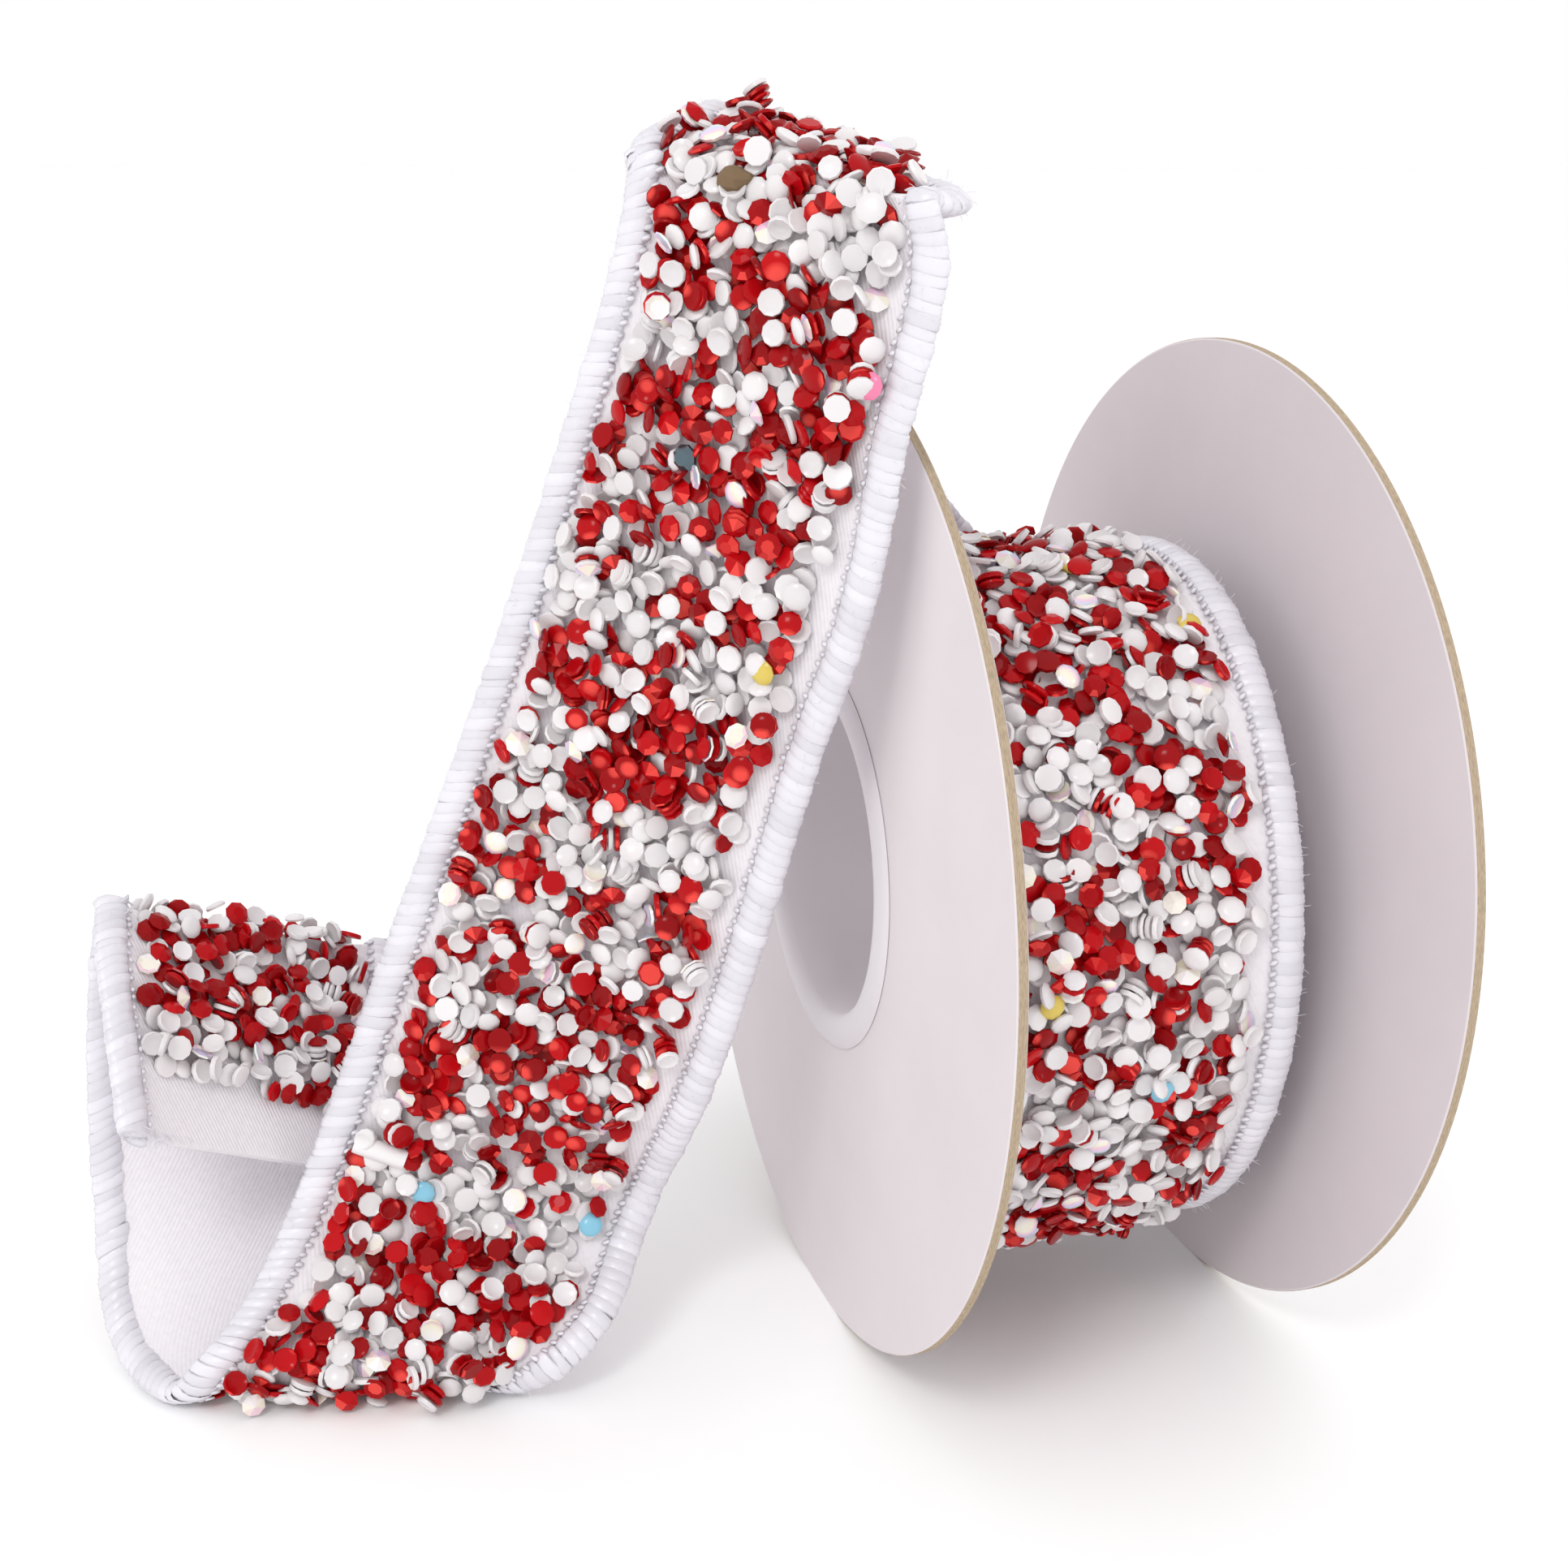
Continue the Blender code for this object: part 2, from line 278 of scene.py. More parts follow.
class ClothSettings(bpy.types.PropertyGroup):
    """The ribbon's cloth and its overlocked edges."""
    pitch: number_setting("Stitch pitch", "Distance between two stitches of the edge", 0.00118,
                          "LENGTH")
    thread: number_setting("Thread", "Thickness of a bundle of edge threads", 0.00034, "LENGTH")
    seed: bpy.props.IntProperty(name="Seed", description="Sets how stitches and fibres differ",
                                default=11)
    cloth: colour_setting("Cloth", "Satin cloth", "#EEEAEE")
    edge: colour_setting("Edge thread", "Overlock thread", "#EAE7EF")


class SpoolSettings(bpy.types.PropertyGroup):
    """The cardboard spool."""
    liner: number_setting("Liner", "Thickness of the white paper on each face of the board",
                          0.00012, "LENGTH")
    card: colour_setting("Board face", "White liner paper", "#E0D8DB")
    kraft: colour_setting("Board core", "Kraft plies at the cut edge", "#C2AE95")
    paper: colour_setting("Core paper", "White paper of the core", "#E2DCE0")


class StageSettings(bpy.types.PropertyGroup):
    """The floor and the lights."""
    key: number_setting("Key light", "Power of the light above the front", 3.6, "POWER")
    fill: number_setting("Fill light", "Power of the light on the right", 1.0, "POWER")
    room: number_setting("Room light", "Strength of the white room all round", 1.0)
    floor: colour_setting("Floor", "Pale floor", "#FFFFFF")


def settings(group):
    return getattr(bpy.context.scene, group)


# Flat cloth to space


def lengths_along(points):
    steps = np.linalg.norm(np.diff(points, axis=0), axis=1)
    return np.concatenate([[0.0], np.cumsum(steps)])


def unit_normals(steps, lines):
    """Unit normals of a sheet, from steps along it and lines across it."""
    normal = np.cross(steps, lines)
    return normal / np.linalg.norm(normal, axis=-1, keepdims=True)


class Strip:
    """A ribbon of constant width, given by the ends of straight lines across it."""

    def __init__(self, left, right):
        self.left, self.right = left, right
        self.left_run, self.right_run = lengths_along(left), lengths_along(right)
        self.length = 0.5 * (self.left_run[-1] + self.right_run[-1])
        self.left_step, self.right_step = np.gradient(left, axis=0), np.gradient(right, axis=0)

    def flat_along(self, across):
        """How far along the flat cloth each line is, at places across it."""
        part = np.atleast_1d(across)[:, None] / RIBBON_WIDTH + 0.5
        return (1 - part) * self.left_run + part * self.right_run

    def at(self, along, across):
        """Points, and right-handed frames of run, across and normal, at flat places."""
        along, across = np.atleast_1d(along).astype(float), np.atleast_1d(across).astype(float)
        rows = self.flat_along(across)
        k = np.clip((rows <= along[:, None]).sum(1) - 1, 0, rows.shape[1] - 2)
        pick = np.arange(len(k))
        blend = ((along - rows[pick, k]) / (rows[pick, k + 1] - rows[pick, k]))[:, None]
        part = (across / RIBBON_WIDTH + 0.5)[:, None]
        left = self.left[k] + blend * (self.left[k + 1] - self.left[k])
        right = self.right[k] + blend * (self.right[k + 1] - self.right[k])
        left_step = self.left_step[k] + blend * (self.left_step[k + 1] - self.left_step[k])
        right_step = self.right_step[k] + blend * (self.right_step[k + 1] - self.right_step[k])
        place = (1 - part) * left + part * right
        normal = unit_normals((1 - part) * left_step + part * right_step, right - left)
        run = ((1 - part) * (self.left[k + 1] - self.left[k])
               + part * (self.right[k + 1] - self.right[k]))
        run /= (rows[pick, k + 1] - rows[pick, k])[:, None]
        run -= (run * normal).sum(1)[:, None] * normal
        run /= np.linalg.norm(run, axis=1)[:, None]
        return place, np.stack([run, np.cross(normal, run), normal], axis=2)

    def rings(self, section):
        """A section of (across, offset) pairs on every line, and each point's flat place."""
        across, offset = np.array(section).T
        part = (across / RIBBON_WIDTH + 0.5)[None, :, None]
        base = (1 - part) * self.left[:, None] + part * self.right[:, None]
        step = (1 - part) * self.left_step[:, None] + part * self.right_step[:, None]
        normal = unit_normals(step, (self.right - self.left)[:, None])
        along = self.flat_along(across).T
        flat = np.stack([along, np.broadcast_to(across, along.shape)], axis=2)
        points = base + offset[None, :, None] * normal
        points[..., 2] = np.maximum(points[..., 2], 0.0)
        return points, np.concatenate([flat, flat[:, :1]], axis=1)


def tail_strip():
    """The loose end's lines, smooth through the rows and set down on the surface."""
    ends = np.array([row[1:] for row in TAIL_ROWS], dtype=float)
    spans = 0.5 * (np.linalg.norm(np.diff(ends[:, :3], axis=0), axis=1)
                   + np.linalg.norm(np.diff(ends[:, 3:], axis=0), axis=1))
    slopes = np.diff(ends, axis=0) / spans[:, None]
    heading = np.empty_like(ends)
    heading[0], heading[-1] = slopes[0], slopes[-1]
    heading[1:-1] = ((slopes[:-1] * spans[1:, None] + slopes[1:] * spans[:-1, None])
                     / (spans[1:] + spans[:-1])[:, None])
    lines = []
    for k, span in enumerate(spans):
        count = max(3, round(span / LINE_STEP))
        for part in np.arange(count) / count:
            near, far = (1 + 2 * part) * (1 - part) ** 2, part * part * (3 - 2 * part)
            lines.append(ends[k] * near + ends[k + 1] * far
                         + heading[k] * span * part * (1 - part) ** 2
                         + heading[k + 1] * span * part * part * (part - 1))
    lines = np.array(lines + [ends[-1]])
    half = RIBBON_WIDTH / 2 - EDGE_WIDTH
    drop = np.array([0, 0, TAIL_FLAT_DEPTH + lowest_before_floor(lines, half)])
    return Strip(lines[:, :3] - drop, lines[:, 3:] - drop)


def lowest_before_floor(lines, half):
    """The lowest point of the tape's two faces on the lines, as the part's source has it."""
    left, right = lines[:, :3], lines[:, 3:]
    left_step, right_step = np.gradient(left, axis=0), np.gradient(right, axis=0)
    low = []
    for across in (-half, 0.0, half):
        part = across / RIBBON_WIDTH + 0.5
        normal = unit_normals((1 - part) * left_step + part * right_step, right - left)
        middle = (1 - part) * left + part * right
        low += [(middle + side * RIBBON_THICK / 2 * normal)[:, 2].min() for side in (-1, 1)]
    return min(low)


def wrap_rise(turned):
    columns = np.array(ROLL_WRAP)
    return np.interp(turned, columns[:, 0], columns[:, 1])


def roll_outline(turned, depth):
    """Points of the roll's outline after winding angles from the loose end, as (y, z)."""
    angle = np.radians(LOOSE_END_ANGLE - turned)
    rise = wrap_rise(turned) - depth
    return (ROLL_CENTRE_Y + (ROLL_HALF_DEPTH + rise) * np.cos(angle),
            ROLL_CENTRE_Z + (ROLL_HALF_HEIGHT + rise) * np.sin(angle))


def roll_strip():
    """The roll's outer turn, from under the loose end round to where that leaves it."""
    turned = np.linspace(359.0, 0.0, ROLL_STEPS)
    y, z = roll_outline(turned, RIBBON_THICK / 2)
    left = np.stack([np.full_like(y, ROLL_X), y, z], axis=1)
    return Strip(left, left + np.array([RIBBON_WIDTH, 0, 0]))


def both_strips():
    """The loose end and the roll's outer turn, each with the word that its pieces start with."""
    return ("loose", tail_strip()), ("roll", roll_strip())


# Meshes


def in_scene(name, data):
    """A new object with its data, linked to the scene."""
    made = bpy.data.objects.new(name, data)
    bpy.context.scene.collection.objects.link(made)
    return made


def aim(thing, place, target):
    """Puts a lamp or a camera at a place and turns it to a target."""
    thing.location = place
    thing.rotation_euler = (target - place).to_track_quat("-Z", "Y").to_euler()


def ring_faces(rows, count, loop=False):
    """The faces between rings of points, with both ends closed unless they meet in a loop."""
    faces = []
    for i in range(rows if loop else rows - 1):
        j = (i + 1) % rows
        for k in range(count):
            m = (k + 1) % count
            faces.append((i * count + k, i * count + m, j * count + m, j * count + k))
    if not loop:
        faces.append(tuple(reversed(range(count))))
        faces.append(tuple((rows - 1) * count + k for k in range(count)))
    return faces


def smoothed(mesh, smooth=None, merge=None):
    """Merges doubles if asked, points the faces outwards and smooths them up to an angle."""
    shape = bmesh.new()
    shape.from_mesh(mesh)
    if merge:
        bmesh.ops.remove_doubles(shape, verts=shape.verts, dist=merge)
    bmesh.ops.recalc_face_normals(shape, faces=shape.faces)
    shape.to_mesh(mesh)
    shape.free()
    mesh.shade_smooth()
    if smooth:
        mesh.set_sharp_from_angle(angle=math.radians(smooth))
    return mesh


def skin(name, rings, flat, finish, loop=False, smooth=40.0):
    """Joins rings of points in mm to a closed piece, with flat places in mm as its UV."""
    rows, count = rings.shape[:2]
    corners = np.stack([flat[:-1, :-1], flat[:-1, 1:], flat[1:, 1:], flat[1:, :-1]], axis=2)
    uv = corners.reshape(-1, 2)
    if not loop:
        uv = np.concatenate([uv, flat[0, :-1][::-1], flat[-1, :-1]])
    mesh = bpy.data.meshes.new(name)
    mesh.from_pydata((rings.reshape(-1, 3) * MM).tolist(), [], ring_faces(rows, count, loop))
    layer = mesh.uv_layers.new(name="flat")
    layer.uv.foreach_set("vector", uv.astype(np.float32).ravel())
    smoothed(mesh, smooth)
    mesh.materials.append(finish)
    return in_scene(name, mesh)


def mirrored(profile):
    """The other half of a profile of (radius, along) pairs, in the order that goes on."""
    return tuple((radius, -along) for radius, along in reversed(profile))


def turned_rings(profile, x_middle, segments):
    """A closed profile of (radius, along) pairs in mm turned about the spool's axis."""
    radius, along = np.array(profile, dtype=float).T
    angle = np.linspace(0, math.tau, segments, endpoint=False)[:, None]
    points = np.stack([np.broadcast_to(x_middle + along, (segments, len(along))),
                       radius * np.cos(angle), SPOOL_Z + radius * np.sin(angle)], axis=2)
    closed = np.array([*profile, profile[0]], dtype=float)
    round_way = lengths_along(closed)
    turns = np.linspace(0, math.tau * FLANGE_RADIUS, segments + 1)[:, None]
    flat = np.stack([np.broadcast_to(turns, (segments + 1, len(round_way))),
                     np.broadcast_to(round_way, (segments + 1, len(round_way)))], axis=2)
    return points, flat


def pebble(name, profile, sides, twist=0.0, smooth=30.0):
    """A small shape turned about its own Z, from (radius, height) pairs, for setting out."""
    angle = np.linspace(0, math.tau, sides, endpoint=False)
    points = []
    for row, (radius, height) in enumerate(profile):
        shift = twist * row
        points += [(radius * math.cos(a + shift), radius * math.sin(a + shift), height)
                   for a in angle]
    mesh = bpy.data.meshes.new(name)
    mesh.from_pydata(points, [], ring_faces(len(profile), sides))
    return smoothed(mesh, smooth, merge=1e-5)


def bent_thread(name, path, wide, high, section=ROUND_THREAD):
    """Threads along points in metres. A section point's first share goes along X by wide, its
    second away from the path's inner side by high."""
    path = np.array(path)
    step = np.gradient(path, axis=0)
    step[:, 0] = 0
    step /= np.linalg.norm(step, axis=1)[:, None] + 1e-12
    out = np.stack([np.zeros(len(path)), -step[:, 2], step[:, 1]], axis=1)
    points = []
    for k, (centre, away) in enumerate(zip(path, out)):
        fade = THREAD_END_SHARE if k in (0, len(path) - 1) else 1.0
        points += [centre + np.array([along * wide * fade, 0, 0]) + away * rise * high * fade
                   for along, rise in section]
    mesh = bpy.data.meshes.new(name)
    mesh.from_pydata([tuple(p) for p in points], [], ring_faces(len(path), len(section)))
    return smoothed(mesh)


# Nodes


def fill_in(node, inputs):
    """Sets a node's inputs, each to a value or by a link from another node's output."""
    for name, value in inputs.items():
        if isinstance(value, bpy.types.NodeSocket):
            node.id_data.links.new(value, node.inputs[name])
        else:
            node.inputs[name].default_value = value


def add_node(tree, kind, inputs=None, bands=(), **choices):
    """Adds a node with its choices, its inputs and, for a ramp, its (place, colour) bands."""
    made = tree.nodes.new(kind)
    for name, value in choices.items():
        setattr(made, name, value)
    fill_in(made, inputs or {})
    if bands:
        ramp = made.color_ramp.elements
        ramp[0].position, ramp[0].color = bands[0]
        ramp[1].position, ramp[1].color = bands[-1]
        for place, colour in bands[1:-1]:
            ramp.new(place).color = colour
    return made


def new_finish(name, inputs):
    """A material, its tree and its Principled shader, with the shader's own constants set."""
    finish = bpy.data.materials.new(name)
    finish.use_nodes = True
    shader = finish.node_tree.nodes["Principled BSDF"]
    fill_in(shader, inputs)
    return finish, finish.node_tree, shader


def setting_out_tree():
    """Sets shapes out on points that carry kind, turn, scale and shade, as real geometry."""
    tree = bpy.data.node_groups.new("set shapes out", "GeometryNodeTree")
    for label, kind in (("Geometry", "NodeSocketGeometry"), ("Shapes", "NodeSocketCollection"),
                        ("Size", "NodeSocketFloat"), ("Finish", "NodeSocketMaterial")):
        tree.interface.new_socket(name=label, in_out="INPUT", socket_type=kind)
    tree.interface.new_socket(name="Geometry", in_out="OUTPUT", socket_type="NodeSocketGeometry")
    given = add_node(tree, "NodeGroupInput").outputs
    kind = add_node(tree, "GeometryNodeInputNamedAttribute", {"Name": "kind"}, data_type="INT")
    turn = add_node(tree, "GeometryNodeInputNamedAttribute", {"Name": "turn"},
                    data_type="FLOAT_VECTOR")
    scale = add_node(tree, "GeometryNodeInputNamedAttribute", {"Name": "scale"},
                     data_type="FLOAT")
    way = add_node(tree, "FunctionNodeEulerToRotation", {"Euler": turn.outputs["Attribute"]})
    grown = add_node(tree, "ShaderNodeMath", {0: given["Size"], 1: scale.outputs["Attribute"]},
                     operation="MULTIPLY")
    shapes = add_node(tree, "GeometryNodeCollectionInfo", {
        "Collection": given["Shapes"], "Separate Children": True, "Reset Children": True})
    placed = add_node(tree, "GeometryNodeInstanceOnPoints", {
        "Points": given["Geometry"], "Instance": shapes.outputs["Instances"],
        "Pick Instance": True, "Instance Index": kind.outputs["Attribute"],
        "Rotation": way.outputs["Rotation"], "Scale": grown.outputs["Value"]})
    real = add_node(tree, "GeometryNodeRealizeInstances", {
        "Geometry": placed.outputs["Instances"]})
    painted = add_node(tree, "GeometryNodeSetMaterial", {
        "Geometry": real.outputs["Geometry"], "Material": given["Finish"]})
    add_node(tree, "NodeGroupOutput", {"Geometry": painted.outputs["Geometry"]})
    return tree


def set_out(name, places, frames, kinds, scales, shades, shapes, size, finish):
    """Carries small shapes to places in mm with Geometry Nodes, and keeps a plain mesh."""
    tree = bpy.data.node_groups.get("set shapes out") or setting_out_tree()
    box = bpy.data.collections.new(name + " shapes")
    bpy.context.scene.collection.children.link(box)
    samples = [bpy.data.objects.new(f"{name} {k:02d}", mesh) for k, mesh in enumerate(shapes)]
    for sample in samples:
        box.objects.link(sample)
    mesh = bpy.data.meshes.new(name)
    mesh.from_pydata((np.asarray(places) * MM).tolist(), [], [])
    turns = [tuple(Matrix(f.tolist()).to_euler("XYZ")) for f in frames]
    for label, kind, field, values in (
            ("kind", "INT", "value", kinds), ("scale", "FLOAT", "value", scales),
            ("shade", "FLOAT", "value", shades), ("turn", "FLOAT_VECTOR", "vector", turns)):
        store = mesh.attributes.new(label, kind, "POINT")
        store.data.foreach_set(field, np.ravel(np.array(
            values, dtype=np.int32 if kind == "INT" else np.float32)))
    piece = in_scene(name, mesh)
    modifier = piece.modifiers.new("set out", "NODES")
    modifier.node_group = tree
    values = {"Shapes": box, "Size": size, "Finish": finish}
    for socket in tree.interface.items_tree:
        if socket.in_out == "INPUT" and socket.name in values:
            modifier[socket.identifier] = values[socket.name]
    graph = bpy.context.evaluated_depsgraph_get()
    plain = bpy.data.meshes.new_from_object(piece.evaluated_get(graph))
    piece.modifiers.clear()
    piece.data = plain
    plain.name = name
    bpy.data.meshes.remove(mesh)
    for sample in samples:
        bpy.data.objects.remove(sample)
    bpy.data.collections.remove(box)
    if not plain.polygons:
        raise RuntimeError(name + " came out empty")
    return piece


# Finishes


def board_face_finish():
    """Clay-coated white liner of grey chipboard: matt, faintly mottled, slightly warm lilac."""
    card = settings("spool_look").card
    finish, tree, shader = new_finish("white liner paper on chipboard", {
        "Roughness": 0.62, "IOR": 1.5, "Specular IOR Level": 0.35})
    place = add_node(tree, "ShaderNodeTexCoord").outputs["Object"]
    mottle = add_node(tree, "ShaderNodeTexNoise", {
        "Vector": place, "Scale": 60.0, "Detail": 4.0, "Roughness": 0.6})
    tint = add_node(tree, "ShaderNodeValToRGB", {"Fac": mottle.outputs["Fac"]},
                    bands=((0.3, darker(card, 0.955)), (0.7, card)))
    fibres = add_node(tree, "ShaderNodeTexNoise", {
        "Vector": place, "Scale": 1400.0, "Detail": 3.0, "Roughness": 0.7})
    relief = add_node(tree, "ShaderNodeBump", {
        "Height": fibres.outputs["Fac"], "Strength": 0.12, "Distance": 0.0001})
    fill_in(shader, {"Base Color": tint.outputs["Color"], "Normal": relief.outputs["Normal"]})
    return finish


def board_edge_finish():
    """Die-cut edge of pressed kraft board: tan, fibrous, with darker streaks along the cut."""
    kraft = settings("spool_look").kraft
    finish, tree, shader = new_finish("kraft plies at a die-cut edge", {
        "Roughness": 0.85, "IOR": 1.5, "Specular IOR Level": 0.2})
    uv = add_node(tree, "ShaderNodeUVMap", uv_map="flat").outputs["UV"]
    stretched = add_node(tree, "ShaderNodeMapping", {"Vector": uv, "Scale": (0.8, 6.0, 1.0)})
    fibres = add_node(tree, "ShaderNodeTexNoise", {
        "Vector": stretched.outputs["Vector"], "Scale": 1.6, "Detail": 5.0, "Roughness": 0.65})
    tint = add_node(tree, "ShaderNodeValToRGB", {"Fac": fibres.outputs["Fac"]},
                    bands=((0.32, darker(kraft, 0.62)), (0.62, kraft)))
    relief = add_node(tree, "ShaderNodeBump", {
        "Height": fibres.outputs["Fac"], "Strength": 0.5, "Distance": 0.0002})
    fill_in(shader, {"Base Color": tint.outputs["Color"], "Normal": relief.outputs["Normal"]})
    return finish


def core_paper_finish():
    """Convolute-wound white paper: smoother than the board and faintly mottled."""
    paper = settings("spool_look").paper
    finish, tree, shader = new_finish("wound white core paper", {
        "Roughness": 0.5, "IOR": 1.5, "Specular IOR Level": 0.4})
    place = add_node(tree, "ShaderNodeTexCoord").outputs["Object"]
    mottle = add_node(tree, "ShaderNodeTexNoise", {
        "Vector": place, "Scale": 90.0, "Detail": 3.0, "Roughness": 0.6})
    tint = add_node(tree, "ShaderNodeValToRGB", {"Fac": mottle.outputs["Fac"]},
                    bands=((0.0, darker(paper, 0.93)), (1.0, paper)))
    relief = add_node(tree, "ShaderNodeBump", {
        "Height": mottle.outputs["Fac"], "Strength": 0.15, "Distance": 0.0003})
    fill_in(shader, {"Base Color": tint.outputs["Color"], "Normal": relief.outputs["Normal"]})
    return finish


def satin_cloth_finish():
    """White polyester satin, woven: soft sheen, fine twill lines 0.45 mm apart, which is
    about twice the real spacing so that they show."""
    cloth = settings("cloth_look").cloth
    finish, tree, shader = new_finish("woven polyester satin", {
        "Roughness": 0.55, "IOR": 1.5, "Specular IOR Level": 0.35, "Sheen Weight": 0.35,
        "Sheen Roughness": 0.4, "Subsurface Weight": 0.08,
        "Subsurface Radius": (0.6, 0.6, 0.65), "Subsurface Scale": 0.001})
    uv = add_node(tree, "ShaderNodeUVMap", uv_map="flat").outputs["UV"]
    turned = add_node(tree, "ShaderNodeMapping", {
        "Vector": uv, "Rotation": (0, 0, math.radians(63)), "Scale": (1.0, 1.0, 1.0)})
    twill = add_node(tree, "ShaderNodeTexWave", {
        "Vector": turned.outputs["Vector"], "Scale": 0.7, "Distortion": 0.6, "Detail": 2.0,
        "Detail Scale": 2.0}, wave_type="BANDS", bands_direction="X")
    slub = add_node(tree, "ShaderNodeTexNoise", {
        "Vector": uv, "Scale": 1.3, "Detail": 5.0, "Roughness": 0.6})
    mixed = add_node(tree, "ShaderNodeMath", {0: twill.outputs["Fac"], 1: slub.outputs["Fac"]},
                     operation="ADD")
    relief = add_node(tree, "ShaderNodeBump", {
        "Height": mixed.outputs["Value"], "Strength": 0.3, "Distance": 0.00012})
    tint = add_node(tree, "ShaderNodeValToRGB", {"Fac": slub.outputs["Fac"]},
                    bands=((0.25, darker(cloth, 0.93)), (0.6, cloth)))
    fill_in(shader, {"Base Color": tint.outputs["Color"], "Normal": relief.outputs["Normal"]})
    return finish


def overlock_thread_finish():
    """Bright trilobal polyester thread: a glossy, cold white with some lilac, in bundles of
    which some are darker."""
    edge = settings("cloth_look").edge
    finish, tree, shader, _ = shaded_finish("trilobal polyester thread", edge, 0.86, {
        "Roughness": 0.33, "IOR": 1.55, "Specular IOR Level": 0.6, "Sheen Weight": 0.2,
        "Anisotropic": 0.4, "Subsurface Weight": 0.1, "Subsurface Radius": (0.5, 0.5, 0.6),
        "Subsurface Scale": 0.0008})
    place = add_node(tree, "ShaderNodeTexCoord").outputs["Object"]
    strands = add_node(tree, "ShaderNodeTexNoise", {
        "Vector": place, "Scale": 2600.0, "Detail": 2.0, "Roughness": 0.6})
    relief = add_node(tree, "ShaderNodeBump", {
        "Height": strands.outputs["Fac"], "Strength": 0.25, "Distance": 0.00006})
    fill_in(shader, {"Normal": relief.outputs["Normal"]})
    return finish


def shaded_finish(name, light, dark_share, inputs):
    """A finish whose colour runs from darker to light by the shade that each shape carries."""
    finish, tree, shader = new_finish(name, inputs)
    shade = add_node(tree, "ShaderNodeAttribute", attribute_name="shade")
    tint = add_node(tree, "ShaderNodeValToRGB", {"Fac": shade.outputs["Fac"]},
                    bands=((0.0, darker(light, dark_share)), (1.0, light)))
    fill_in(shader, {"Base Color": tint.outputs["Color"]})
    return finish, tree, shader, tint


def white_bead_finish():
    """Moulded opaque white resin: hard, glossy, hardly translucent."""
    return shaded_finish("opaque white resin", settings("bead_look").white, 0.88, {
        "Roughness": 0.26, "IOR": 1.5, "Specular IOR Level": 0.5, "Subsurface Weight": 0.12,
        "Subsurface Radius": (0.8, 0.7, 0.7), "Subsurface Scale": 0.0006})[0]


def red_bead_finish():
    """Moulded translucent red resin with a foiled back: some beads are much darker, and a
    facet turned low and to the front left gets a painted glint, a lighter red standing in for the
    light the foil throws back."""
    red = settings("bead_look").red
    finish, tree, shader, tint = shaded_finish("translucent red resin", red, 0.46, {
        "Roughness": 0.16, "IOR": 1.5, "Specular IOR Level": 0.14})
    # Painted highlight: facets whose normal turns low and to the front left get the lighter red
    # #EA4A42 mixed into their colour, standing in for light that the foil throws back
    way = add_node(tree, "ShaderNodeNewGeometry").outputs["Normal"]
    facing = add_node(tree, "ShaderNodeVectorMath", {
        0: way, 1: Vector(PAINTED_GLINT_WAY).normalized()}, operation="DOT_PRODUCT")
    painted_glint = add_node(tree, "ShaderNodeMapRange", {
        "Value": facing.outputs["Value"], "From Min": 0.93, "From Max": 0.985})
    red_with_painted_glint = add_node(tree, "ShaderNodeMix", {
        "Factor": painted_glint.outputs["Result"], MIX_FIRST_COLOUR: tint.outputs["Color"],
        MIX_SECOND_COLOUR: linear("#EA4A42")}, data_type="RGBA")
    fill_in(shader, {"Base Color": red_with_painted_glint.outputs[MIX_COLOUR_OUT]})
    return finish


def pearl_bead_finish():
    """White resin with a vapour-deposited rainbow coat, which shifts with the angle."""
    finish, tree, shader = new_finish("rainbow-coated resin", {
        "Roughness": 0.12, "IOR": 1.6, "Specular IOR Level": 0.8, "Coat Weight": 0.5,
        "Coat Roughness": 0.03})
    angle = add_node(tree, "ShaderNodeLayerWeight", {"Blend": 0.45})
    rainbow = ((0.0, "#EFEAEC"), (0.22, "#F1EBD2"), (0.40, "#EFC6DC"), (0.6, "#CFC9EC"),
               (0.78, "#C2E6DF"), (1.0, "#D9F2E4"))
    tint = add_node(tree, "ShaderNodeValToRGB", {"Fac": angle.outputs["Facing"]},
                    bands=[(place, linear(colour)) for place, colour in rainbow])
    fill_in(shader, {"Base Color": tint.outputs["Color"]})
    return finish


def odd_bead_finish(name, hex_colour, roughness, metallic=0.0):
    return shaded_finish(name, linear(hex_colour), 0.85, {
        "Roughness": roughness, "Metallic": metallic, "IOR": 1.5})[0]


# Pieces


def keep(piece, *nodes, slot):
    """Lets a piece ride with the part and stand for its solids; its slot is not used."""
    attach(piece, "root")
    if nodes:
        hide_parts(*nodes)
    return piece


def cloth_middle(across):
    """Offset of the middle of the cloth's thickness at places across it."""
    return np.interp(np.abs(across), (RISE_STARTS, RISE_ENDS), (CLOTH_MIDDLE, CLOTH_BORDER))


def cloth_top(across):
    """Offset of the cloth's beaded face at places across it."""
    return cloth_middle(across) + CLOTH_THICK / 2


def cloth_section():
    """The cloth's closed section, rising a little to its edges, as (across, offset) pairs."""
    across = np.linspace(-CLOTH_HALF_WIDTH, CLOTH_HALF_WIDTH, 17)
    under = list(zip(across, cloth_middle(across) - CLOTH_THICK / 2))
    return list(zip(across, cloth_top(across))) + under[::-1]


def edge_section(side):
    """The edge's wired core, an oval under the stitches."""
    middle = side * (RIBBON_WIDTH - EDGE_WIDTH) / 2
    angles = np.arange(12) * math.tau / 12
    return [(middle + EDGE_CORE_HALF_WIDTH * math.cos(a),
             CLOTH_BORDER + EDGE_CORE_HALF_HEIGHT * math.sin(a)) for a in angles]


